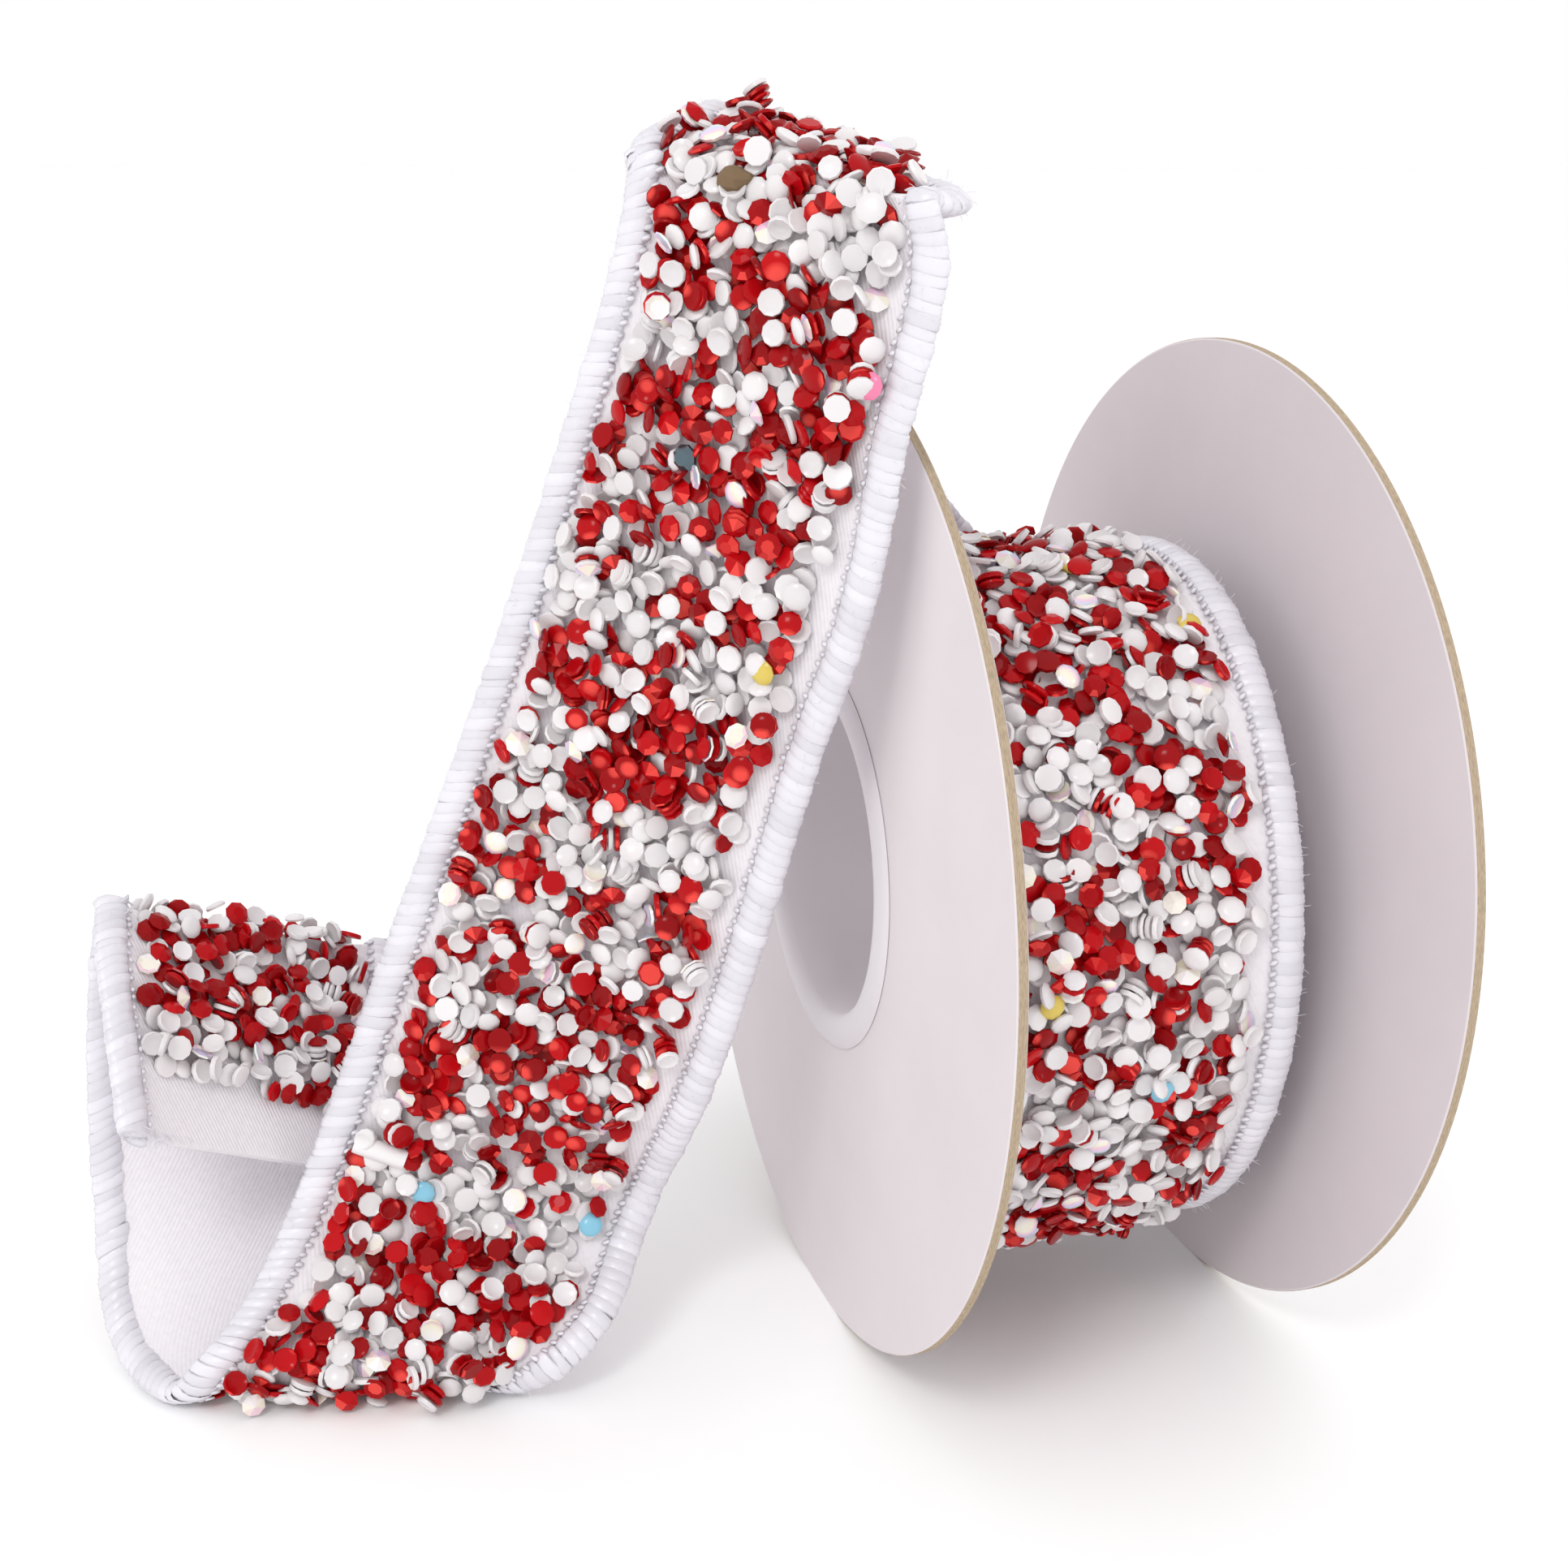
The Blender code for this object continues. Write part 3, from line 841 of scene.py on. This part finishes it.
def stitch_shapes(slant):
    """A satin wrap round the edge and a chain loop inside it, in metres, outwards to +Y. The
    wrap's inner end is slant millimetres along, so that the edge looks like a twisted rope."""
    look = settings("cloth_look")
    sweep = np.radians(np.linspace(168, -168, 11))
    wrap = [(slant * (1 - math.cos(a)) / 2 * math.copysign(1, a) * MM,
             WRAP_RADIUS * math.cos(a) * MM,
             (0.84 + 0.18 * math.sin(a) ** 2) * math.sin(a) * MM) for a in sweep]
    loop = [(0.10 * k * MM, (-1.45 - 0.24 * k) * MM, (0.80 - 0.13 * k) * MM) for k in range(4)]
    return [bent_thread("wrap stitch", wrap, look.pitch * 1.36, look.thread, SATIN_BUNDLE),
            bent_thread("chain loop", loop, look.pitch * 0.55, look.thread * 0.8)]


def fibre_shapes():
    """Loose fibre ends, in metres, that rise to +Y and bend to three sides."""
    shapes = []
    for bend, curl in ((0.30, 0.10), (-0.35, 0.25), (0.05, -0.30)):
        path = [(bend * t * t * MM, t * MM, curl * t * t * MM) for t in (0.0, 0.3, 0.6, 0.85, 1.1)]
        shapes.append(bent_thread("fibre", path, FIBRE_THICK * MM, FIBRE_THICK * MM))
    return shapes


def frame_along(out, aside):
    """A right-handed frame whose Y is the unit vector out and whose X is square to aside."""
    flank = np.cross(out, aside)
    flank /= np.linalg.norm(flank)
    return np.stack([flank, out, np.cross(flank, out)], axis=1)


def edge_fuzz(strip, side, gap, seed):
    """Places, frames, kinds, scales and shades of fibre ends that stand off one edge."""
    rng = np.random.default_rng(seed)
    along = np.arange(0.5, strip.length - 0.5, gap)
    along = along + rng.uniform(-gap / 2, gap / 2, len(along))
    place, axes = strip.at(along, np.full(len(along), side * (RIBBON_WIDTH / 2 - 1.8)))
    frames = []
    for base in axes:
        turn, lean = rng.uniform(-0.5, 1.5), rng.normal(0, 0.55)
        out = (math.sin(lean) * base[:, 0]
               + math.cos(lean) * (side * math.cos(turn) * base[:, 1] + math.sin(turn) * base[:, 2]))
        frames.append(frame_along(out, base[:, 2] if abs(out @ base[:, 2]) < 0.9 else base[:, 0]))
    frames = np.array(frames)
    place = place + CLOTH_BORDER * axes[:, :, 2] + 1.1 * frames[:, :, 1]
    return (place, frames, rng.integers(0, 3, len(along)), rng.uniform(0.5, 1.2, len(along)),
            rng.uniform(0.4, 1.0, len(along)))


def frayed_end(strip, seed):
    """Places, frames, kinds, scales and shades of the yarn ends along the cut end."""
    rng = np.random.default_rng(seed)
    across = np.concatenate([rng.uniform(-18.5, 18.0, 150), rng.uniform(-18.5, LONG_YARNS_END, 90)])
    place, axes = strip.at(np.full(len(across), strip.length - 0.4), across)
    offset = cloth_middle(across) + rng.uniform(-0.3, 0.3, len(across))
    place = place + offset[:, None] * axes[:, :, 2]
    frames = []
    for base in axes:
        lean, lift = rng.normal(0, 0.30), rng.normal(0.05, 0.25)
        out = base[:, 0] + lean * base[:, 1] + lift * base[:, 2]
        out /= np.linalg.norm(out)
        frames.append(frame_along(out, base[:, 2]))
    scales = np.where(across < LONG_YARNS_END, rng.uniform(0.9, 2.2, len(across)),
                      rng.uniform(0.3, 1.0, len(across)))
    return (place, np.array(frames), rng.integers(0, 3, len(across)), scales,
            rng.uniform(0.4, 1.0, len(across)))


def edge_stitches(strip, side, seed):
    """Places, frames, kinds, scales and shades of the stitches on one edge of a strip."""
    rng = np.random.default_rng(seed)
    pitch = settings("cloth_look").pitch / MM
    across = side * (RIBBON_WIDTH - EDGE_WIDTH) / 2
    length = strip.flat_along(across)[0, -1]
    along = np.arange(pitch / 2, length, pitch)
    along = along + rng.normal(0, 0.05, len(along))
    place, axes = strip.at(along, np.full(len(along), across))
    place = place + CLOTH_BORDER * axes[:, :, 2]
    if side < 0:
        axes = axes * np.array([-1, -1, 1])
    lean = rng.normal(0, 0.06, len(along))
    turned = np.array([a @ np.array(Matrix.Rotation(t, 3, "Z")) for a, t in zip(axes, lean)])
    scale = rng.normal(1.0, 0.035, len(along))
    shade = rng.uniform(0.0, 1.0, len(along))
    kinds = np.repeat([0, 1], len(along))
    place, turned, scale, shade = (np.concatenate([values, values])
                                   for values in (place, turned, scale, shade))
    return place, turned, kinds, scale, shade


def pour_beads(strip, first, last, seed):
    """Lets flat beads fall on the flat cloth one by one, each on what lies under it.

    Gives each bead's flat place, its height over the cloth, its tilt as a unit normal and
    1 or 0 for red or white."""
    look = settings("bead_look")
    rng = np.random.default_rng(seed)
    radius, thick = look.size / MM / 2, look.size / MM * BEAD_THICK
    half = look.field / MM / 2
    rows, cols = int((last - first) / CELL) + 2 * MARGIN, int(2 * half / CELL) + 2 * MARGIN
    height = np.zeros((rows, cols))
    reach = int(radius / CELL) + 1
    steps = np.arange(-reach, reach + 1) * CELL
    dx, dy = np.meshgrid(steps, steps, indexing="ij")
    disc = dx * dx + dy * dy <= radius * radius
    spread = (dx[disc] ** 2).sum()
    left_border = rng.uniform(*LEFT_BORDER, rows // 10 + 2)
    right_border = rng.uniform(*RIGHT_BORDER, rows // 10 + 2)
    waves = [(rng.normal(0, WAVE_SPREAD), rng.normal(0, WAVE_SPREAD), rng.uniform(0, math.tau))
             for _ in range(WAVES)]
    beads = []
    while len(beads) < look.density * (last - first) * 2 * half:
        best = None
        for _ in range(TRIES):
            i, j = rng.integers(MARGIN, rows - MARGIN), rng.integers(MARGIN, cols - MARGIN)
            across = (j - cols / 2) * CELL
            if not (-left_border[i // 10] - half + radius * 0.8 < across
                    < right_border[i // 10] + half - radius * 0.8):
                continue
            patch = height[i - reach:i + reach + 1, j - reach:j + reach + 1]
            level = patch[disc].mean() + rng.uniform(0, LEVEL_NOISE)
            if best is None or level < best[0]:
                best = (level, i, j, patch)
        if best is None:
            continue
        _, i, j, patch = best
        slope = np.array([(dx * patch)[disc].sum(), (dy * patch)[disc].sum()]) / spread
        chance = rng.random()
        if chance < look.steep_share:
            way = rng.uniform(0, math.tau)
            slope = math.tan(rng.uniform(*STEEP_ANGLES)) * np.array([math.cos(way), math.sin(way)])
        else:
            slope = slope * rng.uniform(*SLOPE_SHARES) + rng.normal(0, SLOPE_NOISE, 2)
            slope *= min(1.0, STEEPEST_SLOPE / (np.linalg.norm(slope) + 1e-9))
        stacked = rng.choice([2, 3, 4]) if chance < look.steep_share * STACK_SHARE else 1
        plane = slope[0] * dx + slope[1] * dy
        under = dx * dx + dy * dy + plane * plane <= radius * radius
        rest = np.percentile((patch - plane)[under], REST_PERCENTILE)
        if rest > HIGHEST_REST:
            continue
        top = rest + plane + stacked * thick * math.sqrt(1 + slope @ slope)
        patch[under] = np.maximum(patch[under], np.minimum(top, HIGHEST_REST + 1.0)[under])
        normal = np.array([-slope[0], -slope[1], 1.0]) / math.sqrt(1 + slope @ slope)
        along, across = first + (i - MARGIN) * CELL, (j - cols / 2) * CELL
        patchy = sum(math.cos(a * along + b * across + c) for a, b, c in waves) / WAVES
        red = rng.random() < look.red_share + PATCH_STRENGTH * patchy
        for k in range(stacked):
            centre = np.array([along, across, rest]) + normal * thick * (k + 0.5)
            beads.append((*centre, *normal, float(red)))
            red = red != (rng.random() < STACK_CHANGES)
    return np.array(beads)


def place_beads(strip, beads, seed):
    """Bends the poured beads to the strip's real form, turns a third of them over, and marks
    those that stay above the surface."""
    look = settings("bead_look")
    rng = np.random.default_rng(seed)
    radius = look.size / MM / 2
    place, axes = strip.at(beads[:, 0], beads[:, 1])
    place = place + axes[:, :, 2] * (cloth_top(beads[:, 1]) + beads[:, 2])[:, None]
    frames = []
    for base, normal in zip(axes, beads[:, 3:6]):
        spin = rng.uniform(0, math.tau)
        face = normal if rng.random() < FACE_UP_SHARE else -normal
        side = np.cross(face, np.array([math.cos(spin), math.sin(spin), 0.0]))
        side /= np.linalg.norm(side)
        frames.append(base @ np.stack([np.cross(side, face), side, face], axis=1))
    frames = np.array(frames)
    up = np.abs(frames[:, 2, 2])
    lowest = place[:, 2] - radius * np.sqrt(np.clip(1 - up * up, 0, 1)) - 0.15 * 2 * radius * up
    return place, frames, lowest > 0.0


def bead_shapes():
    """Thin beads one unit across: pressed shells with a hollow back, and cut stones."""
    return {
        "domed": pebble("domed", ((0.30, -0.05), (0.46, -0.13), (0.5, -0.02), (0.40, 0.09),
                                  (0.20, 0.13)), 10, smooth=50),
        "dished": pebble("dished", ((0.34, -0.10), (0.49, -0.08), (0.5, 0.06), (0.45, 0.11),
                                    (0.26, -0.01)), 10, smooth=50),
        "cone": pebble("faceted", ((0.30, -0.05), (0.47, -0.12), (0.5, -0.05), (0.001, 0.20)), 8,
                       smooth=15),
        "table": pebble("table cut", ((0.40, -0.12), (0.5, -0.06), (0.49, 0.02), (0.24, 0.15)), 8,
                        smooth=15),
        "lens": pebble("lens", ((0.42, -0.12), (0.5, -0.07), (0.5, 0.02), (0.38, 0.09),
                                (0.18, 0.13)), 10, smooth=50),
    }


def odd_shapes():
    """The odd pieces' shapes, in bead sizes: a bugle tube, a dark cut stone and a seed hull."""
    tube = ((0.26, -1.05), (0.40, -1.10), (0.42, -1.0), (0.42, 1.0), (0.40, 1.10), (0.26, 1.05))
    seed = ((0.10, -0.62), (0.42, -0.40), (0.58, -0.05), (0.50, 0.30), (0.26, 0.58), (0.12, 0.80))
    return {"tube": pebble("bugle tube", tube, 14, smooth=50),
            "crystal": pebble("cut stone", ((0.10, -0.45), (0.52, -0.02), (0.50, 0.08),
                                            (0.30, 0.26)), 8, smooth=10),
            "seed": pebble("seed hull", seed, 9, twist=0.35, smooth=20)}


def odd_finishes():
    return {"yellow": odd_bead_finish("opaque yellow resin", "#DCC35A", 0.25),
            "blue": odd_bead_finish("opaque light blue resin", "#86C4DC", 0.22),
            "pink": odd_bead_finish("opaque pink resin", "#EC7FA6", 0.25),
            "tube": odd_bead_finish("white glass bugle tube", "#F0EDEE", 0.15),
            "crystal": odd_bead_finish("dark silvered glass", "#5C6C74", 0.12, metallic=0.8),
            "seed": odd_bead_finish("dry brown seed hull", "#7A6248", 0.8)}


def photo_pixels(points):
    """The (column, row) pixels at which the camera sees points in mm, and their depths."""
    ahead = np.array(CAMERA_TARGET) - np.array(CAMERA_PLACE)
    ahead /= np.linalg.norm(ahead)
    right = np.cross(ahead, (0, 0, 1))
    right /= np.linalg.norm(right)
    down = np.cross(ahead, right)
    away = points - np.array(CAMERA_PLACE)
    depth = away @ ahead
    focal = CAMERA_LENS / SENSOR_WIDTH * PHOTO_PIXELS
    shift = focal * np.stack([away @ right, away @ down], axis=1) / depth[:, None]
    return PHOTO_PIXELS / 2 + shift, depth


def seen_in_photo(strip, spots):
    """The flat place, to the millimetre, that shows at each of the photo's pixels."""
    along, across = (grid.ravel() for grid in np.meshgrid(
        np.arange(1.0, strip.length - 1), np.arange(-18.0, 19.0), indexing="ij"))
    place, axes = strip.at(along, across)
    place = place + (cloth_top(across) + ODD_HEIGHT)[:, None] * axes[:, :, 2]
    pixels, depth = photo_pixels(place)
    hidden = ((np.array(CAMERA_PLACE) - place) * axes[:, :, 2]).sum(1) < 0
    found = []
    for spot in spots:
        miss = np.where(hidden, np.inf, np.linalg.norm(pixels - spot, axis=1))
        near = np.argsort(miss)[:NEAREST_PLACES]
        best = near[depth[near].argmin()]
        found.append((along[best], across[best]))
    return np.array(found)


def lying_frame(axes, across):
    """A frame on the cloth whose own Z runs across it, for what lies on its side."""
    run, side, normal = axes[:, 0], axes[:, 1], axes[:, 2]
    return np.stack([normal, run, side], axis=1) if across else np.stack([run, side, normal], axis=1)


# Operators, one for each piece or group of like pieces


class RIBBON_OT_flanges(bpy.types.Operator):
    """Makes the two round chipboard flanges with their kraft cut edges"""
    bl_idname = "ribbon.flanges"
    bl_label = "Flanges"

    def execute(self, context):
        liner = settings("spool_look").liner / MM
        face, cut = board_face_finish(), board_edge_finish()
        half, hole, rim = FLANGE_THICK / 2, CORE_OUTER_RADIUS + TOUCH_GAP, FLANGE_RADIUS
        near_half = ((hole, -half), (rim - RIM_ROUNDING, -half), (rim - RIM_SHOULDER, liner - half),
                     (rim, 1.6 * liner - half), (rim, -GROOVE_HALF_WIDTH))
        profile = near_half + ((rim - GROOVE_DEPTH, 0.0),) + mirrored(near_half)
        for name, x in (("flange_near", NEAR_X), ("flange_far", FAR_X)):
            points, flat = turned_rings(profile, x, FLANGE_SEGMENTS)
            points[..., 2] = np.maximum(points[..., 2], 0.0)
            piece = skin(name + "_board", points, flat, face, loop=True, smooth=25)
            piece.data.materials.append(cut)
            for polygon in piece.data.polygons:
                centre = polygon.center
                radius = math.hypot(centre.y, centre.z - SPOOL_Z * MM)
                if (radius > (rim - CUT_FACE_DEPTH) * MM
                        or centre.z < 1e-6 and abs(polygon.normal.x) < 0.5):
                    polygon.material_index = 1
            keep(piece, name, slot="chipboard")
        return {"FINISHED"}


class RIBBON_OT_core(bpy.types.Operator):
    """Makes the paper core with its ends rolled out over the flanges"""
    bl_idname = "ribbon.core"
    bl_label = "Core"

    def execute(self, context):
        inner, outer = SPOOL_WIDTH / 2 + TOUCH_GAP, SPOOL_WIDTH / 2 + TOUCH_GAP + CORE_LIP_THICK
        bore, wall, lip = CORE_BORE_RADIUS, CORE_OUTER_RADIUS, CORE_LIP_RADIUS
        far_half = ((wall, 0.0), (wall, inner - LIP_SEAT), (lip - 0.1, inner - LIP_SEAT),
                    (lip, inner - 0.2), (lip - 0.25, inner + 0.05), (lip - 0.8, outer - 0.2),
                    (lip - 1.5, outer - 0.05), (bore + 1.6, outer), (bore + 0.75, outer - 0.16),
                    (bore + 0.25, outer - 0.6), (bore, outer - 1.3), (bore, outer - 5.0),
                    (bore + 0.05, outer - 5.1), (bore + 0.05, 0.0))
        profile = far_half + mirrored(far_half[1:-1])
        points, flat = turned_rings(profile, (NEAR_X + FAR_X) / 2, CORE_SEGMENTS)
        piece = skin("core_tube", points, flat, core_paper_finish(), loop=True, smooth=35)
        keep(piece, "spool_core", slot="core_paper")
        return {"FINISHED"}


class RIBBON_OT_wound_turns(bpy.types.Operator):
    """Makes the body of the roll under its outer turn, with the turns' edges at its sides"""
    bl_idname = "ribbon.wound_turns"
    bl_label = "Wound turns"

    def execute(self, context):
        turned = np.linspace(0, 360, ROLL_STEPS, endpoint=False)
        y, z = roll_outline(turned, RIBBON_THICK)
        angle = np.radians(LOOSE_END_ANGLE - turned)
        inner = CORE_OUTER_RADIUS + TOUCH_GAP
        inner_y, inner_z = inner * np.cos(angle), SPOOL_Z + inner * np.sin(angle)
        turns = [((k + part) / ROLL_TURNS_SHOWN, inset)
                 for k in range(ROLL_TURNS_SHOWN) for part, inset in TURN_INSETS]
        shares, insets = zip((0.0, OUTERMOST_INSET), *turns, (1.0, INNERMOST_INSET))
        points = []
        for i in range(ROLL_STEPS):
            shift = (turned[i] / 360 - 0.5) / ROLL_TURNS_SHOWN * SPIRAL_SHARE
            spiral = [s if s in (0.0, 1.0) else min(0.995, s + shift) for s in shares]
            spiral = np.maximum(spiral, 0.0)
            ys, zs = y[i] + (inner_y[i] - y[i]) * spiral, z[i] + (inner_z[i] - z[i]) * spiral
            left = [(ROLL_X + inset, a, b) for inset, a, b in zip(insets, ys, zs)]
            right = [(ROLL_X + RIBBON_WIDTH - inset, a, b) for inset, a, b in zip(insets, ys, zs)]
            points.append(left + right[::-1])
        points = np.array(points)
        count = points.shape[1]
        flat = np.zeros((ROLL_STEPS + 1, count + 1, 2))
        flat[..., 0] = np.linspace(0, ROLL_GIRTH, ROLL_STEPS + 1)[:, None]
        flat[..., 1] = np.arange(count + 1)
        piece = skin("wound_turns", points, flat, overlock_thread_finish(), loop=True)
        keep(piece, "ribbon_roll", slot="beaded_tape")
        return {"FINISHED"}


class RIBBON_OT_cloth(bpy.types.Operator):
    """Makes the woven cloth of the loose end and of the roll's outer turn"""
    bl_idname = "ribbon.cloth"
    bl_label = "Cloth"

    def execute(self, context):
        finish = satin_cloth_finish()
        for part, strip in both_strips():
            nodes = ("tail_tape",) if part == "loose" else ()
            rings, flat = strip.rings(cloth_section())
            piece = skin(part + "_cloth", rings, flat, finish)
            keep(piece, *nodes, slot="beaded_tape")
        return {"FINISHED"}


class RIBBON_OT_edges(bpy.types.Operator):
    """Makes the wired edges with their overlock stitches, fuzz and the frayed cut end"""
    bl_idname = "ribbon.edges"
    bl_label = "Overlocked edges"

    def execute(self, context):
        finish = overlock_thread_finish()
        seed = settings("cloth_look").seed
        fibres = fibre_shapes()
        for part, strip in both_strips():
            for side, word, slant, gap in ((-1, "left", LEFT_WRAP_SLANT, LEFT_FUZZ_GAP),
                                           (1, "right", RIGHT_WRAP_SLANT, RIGHT_FUZZ_GAP)):
                nodes = ("tail_edge_" + word,) if part == "loose" else ()
                rings, flat = strip.rings(edge_section(side))
                core = skin(f"{part}_edge_{word}", rings, flat, finish, smooth=80)
                keep(core, *nodes, slot="overlock_thread")
                found = edge_stitches(strip, side, seed + side)
                stitches = set_out(f"{part}_stitches_{word}", *found, stitch_shapes(slant), 1.0,
                                   finish)
                keep(stitches, slot="overlock_thread")
                fuzz = edge_fuzz(strip, side, gap, seed + 10 + side)
                keep(set_out(f"{part}_fuzz_{word}", *fuzz, fibres, 1.0, finish),
                     slot="overlock_thread")
        fray = frayed_end(tail_strip(), seed + 20)
        keep(set_out("loose_frayed_end", *fray, fibres, 1.0, finish), slot="overlock_thread")
        return {"FINISHED"}


class RIBBON_OT_beads(bpy.types.Operator):
    """Pours the beads on the loose end and on the roll's outer turn"""
    bl_idname = "ribbon.beads"
    bl_label = "Beads"

    def execute(self, context):
        look = settings("bead_look")
        shapes = bead_shapes()
        white, red, pearl = white_bead_finish(), red_bead_finish(), pearl_bead_finish()
        kinds = (("white_domed", 0, ("domed",), white), ("white_dished", 0, ("dished",), white),
                 ("red_faceted", 1, ("cone", "table"), red), ("red_smooth", 1, ("lens",), red),
                 ("red_dished", 1, ("dished",), red), ("pearl", 2, ("domed", "cone"), pearl))
        shares = {0: (0.55, 0.45), 1: (0.5, 0.25, 0.25), 2: (1.0,)}
        for part, strip in both_strips():
            before, after = BARE_ENDS[part]
            beads = pour_beads(strip, before, strip.length - after, look.seed + len(part))
            place, frames, shown = place_beads(strip, beads, look.seed)
            rng = np.random.default_rng(look.seed + 100 + len(part))
            colour = beads[:, 6].astype(int)
            colour[rng.random(len(beads)) < look.pearl_share] = 2
            form = np.zeros(len(beads), dtype=int)
            for key, parts in shares.items():
                mine = colour == key
                form[mine] = rng.choice(len(parts), mine.sum(), p=parts)
            seen = {key: 0 for key in shares}
            for word, key, names, finish in kinds:
                pick = (colour == key) & (form == seen[key]) & shown
                seen[key] += 1
                count = int(pick.sum())
                scales = 1 + rng.uniform(-look.spread, look.spread, count)
                shades = rng.uniform(0, 1, count)
                piece = set_out(f"{part}_beads_{word}", place[pick], frames[pick],
                                rng.integers(0, len(names), count), scales, shades,
                                [shapes[name] for name in names], look.size, finish)
                keep(piece, slot="beaded_tape")
        return {"FINISHED"}


class RIBBON_OT_odd_pieces(bpy.types.Operator):
    """Lays the few odd beads, the tube, the dark stone and the seed hull among the beads"""
    bl_idname = "ribbon.odd_pieces"
    bl_label = "Odd pieces"

    def execute(self, context):
        look = settings("bead_look")
        shapes = {**odd_shapes(), **{word: bead_shapes()["domed"]
                                     for word in ("yellow", "blue", "pink")}}
        for part, strip in both_strips():
            for word, finish in odd_finishes().items():
                rows = [row[2:] for row in ODD_PIECES if row[:2] == (word, part)]
                if not rows:
                    continue
                spots = seen_in_photo(strip, rows)
                place, axes = strip.at(spots[:, 0], spots[:, 1])
                place = place + (cloth_top(spots[:, 1]) + ODD_HEIGHT)[:, None] * axes[:, :, 2]
                frames = [lying_frame(base, word in ("tube", "seed")) for base in axes]
                count = len(spots)
                piece = set_out(f"{part}_{word}_piece", place, frames, [0] * count, [1.0] * count,
                                [ODD_SHADE] * count, [shapes[word]], look.size, finish)
                keep(piece, slot="beaded_tape")
        return {"FINISHED"}


class RIBBON_OT_stage(bpy.types.Operator):
    """Makes the pale floor, the soft lights and the camera"""
    bl_idname = "ribbon.stage"
    bl_label = "Stage"

    def execute(self, context):
        look = settings("stage_look")
        mesh = bpy.data.meshes.new("floor")
        reach = FLOOR_HALF_WIDTH
        mesh.from_pydata([(-reach, -reach, 0), (reach, -reach, 0), (reach, reach, 0),
                          (-reach, reach, 0)], [], [(0, 1, 2, 3)])
        finish, _, shader = new_finish("matt painted board", {"Roughness": 0.9})
        shader.inputs["Base Color"].default_value = look.floor
        mesh.materials.append(finish)
        floor = in_scene("floor", mesh)
        world = bpy.data.worlds.new("soft white room")
        world.use_nodes = True
        fill_in(world.node_tree.nodes["Background"],
                {"Color": linear("#FFFFFF"), "Strength": look.room})
        context.scene.view_settings.view_transform = "Standard"
        context.scene.world = world
        for name, place, power in (("key", KEY_PLACE, look.key), ("fill", FILL_PLACE, look.fill)):
            lamp = bpy.data.lights.new(name, "AREA")
            lamp.size = LAMP_SIZE
            lamp.energy = power
            aim(in_scene(name, lamp), Vector(place), Vector(LAMPS_TARGET))
        lens = bpy.data.cameras.new("camera")
        lens.lens = CAMERA_LENS
        lens.sensor_width = SENSOR_WIDTH
        lens.clip_start = 0.01
        camera = in_scene("camera", lens)
        aim(camera, Vector(CAMERA_PLACE) * MM, Vector(CAMERA_TARGET) * MM)
        context.scene.camera = camera
        return {"FINISHED"}


OPERATORS = (RIBBON_OT_flanges, RIBBON_OT_core, RIBBON_OT_wound_turns, RIBBON_OT_cloth,
             RIBBON_OT_edges, RIBBON_OT_beads, RIBBON_OT_odd_pieces, RIBBON_OT_stage)
LOOKS = (("bead_look", BeadSettings), ("cloth_look", ClothSettings),
         ("spool_look", SpoolSettings), ("stage_look", StageSettings))


class RIBBON_PT_panel(bpy.types.Panel):
    """Lists the ribbon's pieces and their settings"""
    bl_idname = "RIBBON_PT_panel"
    bl_label = "Beaded ribbon"
    bl_space_type = "VIEW_3D"
    bl_region_type = "UI"
    bl_category = "Ribbon"

    def draw(self, context):
        for operator in OPERATORS:
            self.layout.operator(operator.bl_idname)
        for group, kind in LOOKS:
            box = self.layout.box()
            for name in kind.__annotations__:
                box.prop(getattr(context.scene, group), name)


def register():
    for _, kind in LOOKS:
        bpy.utils.register_class(kind)
    for group, kind in LOOKS:
        setattr(bpy.types.Scene, group, bpy.props.PointerProperty(type=kind))
    for operator in OPERATORS:
        bpy.utils.register_class(operator)
    bpy.utils.register_class(RIBBON_PT_panel)


def unregister():
    bpy.utils.unregister_class(RIBBON_PT_panel)
    for operator in reversed(OPERATORS):
        bpy.utils.unregister_class(operator)
    for group, kind in reversed(LOOKS):
        delattr(bpy.types.Scene, group)
        bpy.utils.unregister_class(kind)


def main():
    register()
    bpy.ops.ribbon.flanges()
    bpy.ops.ribbon.core()
    bpy.ops.ribbon.wound_turns()
    bpy.ops.ribbon.cloth()
    bpy.ops.ribbon.edges()
    bpy.ops.ribbon.beads()
    bpy.ops.ribbon.odd_pieces()
    length = tail_strip().length * MM
    bpy.ops.ribbon.stage()


if __name__ == "__main__":
    main()
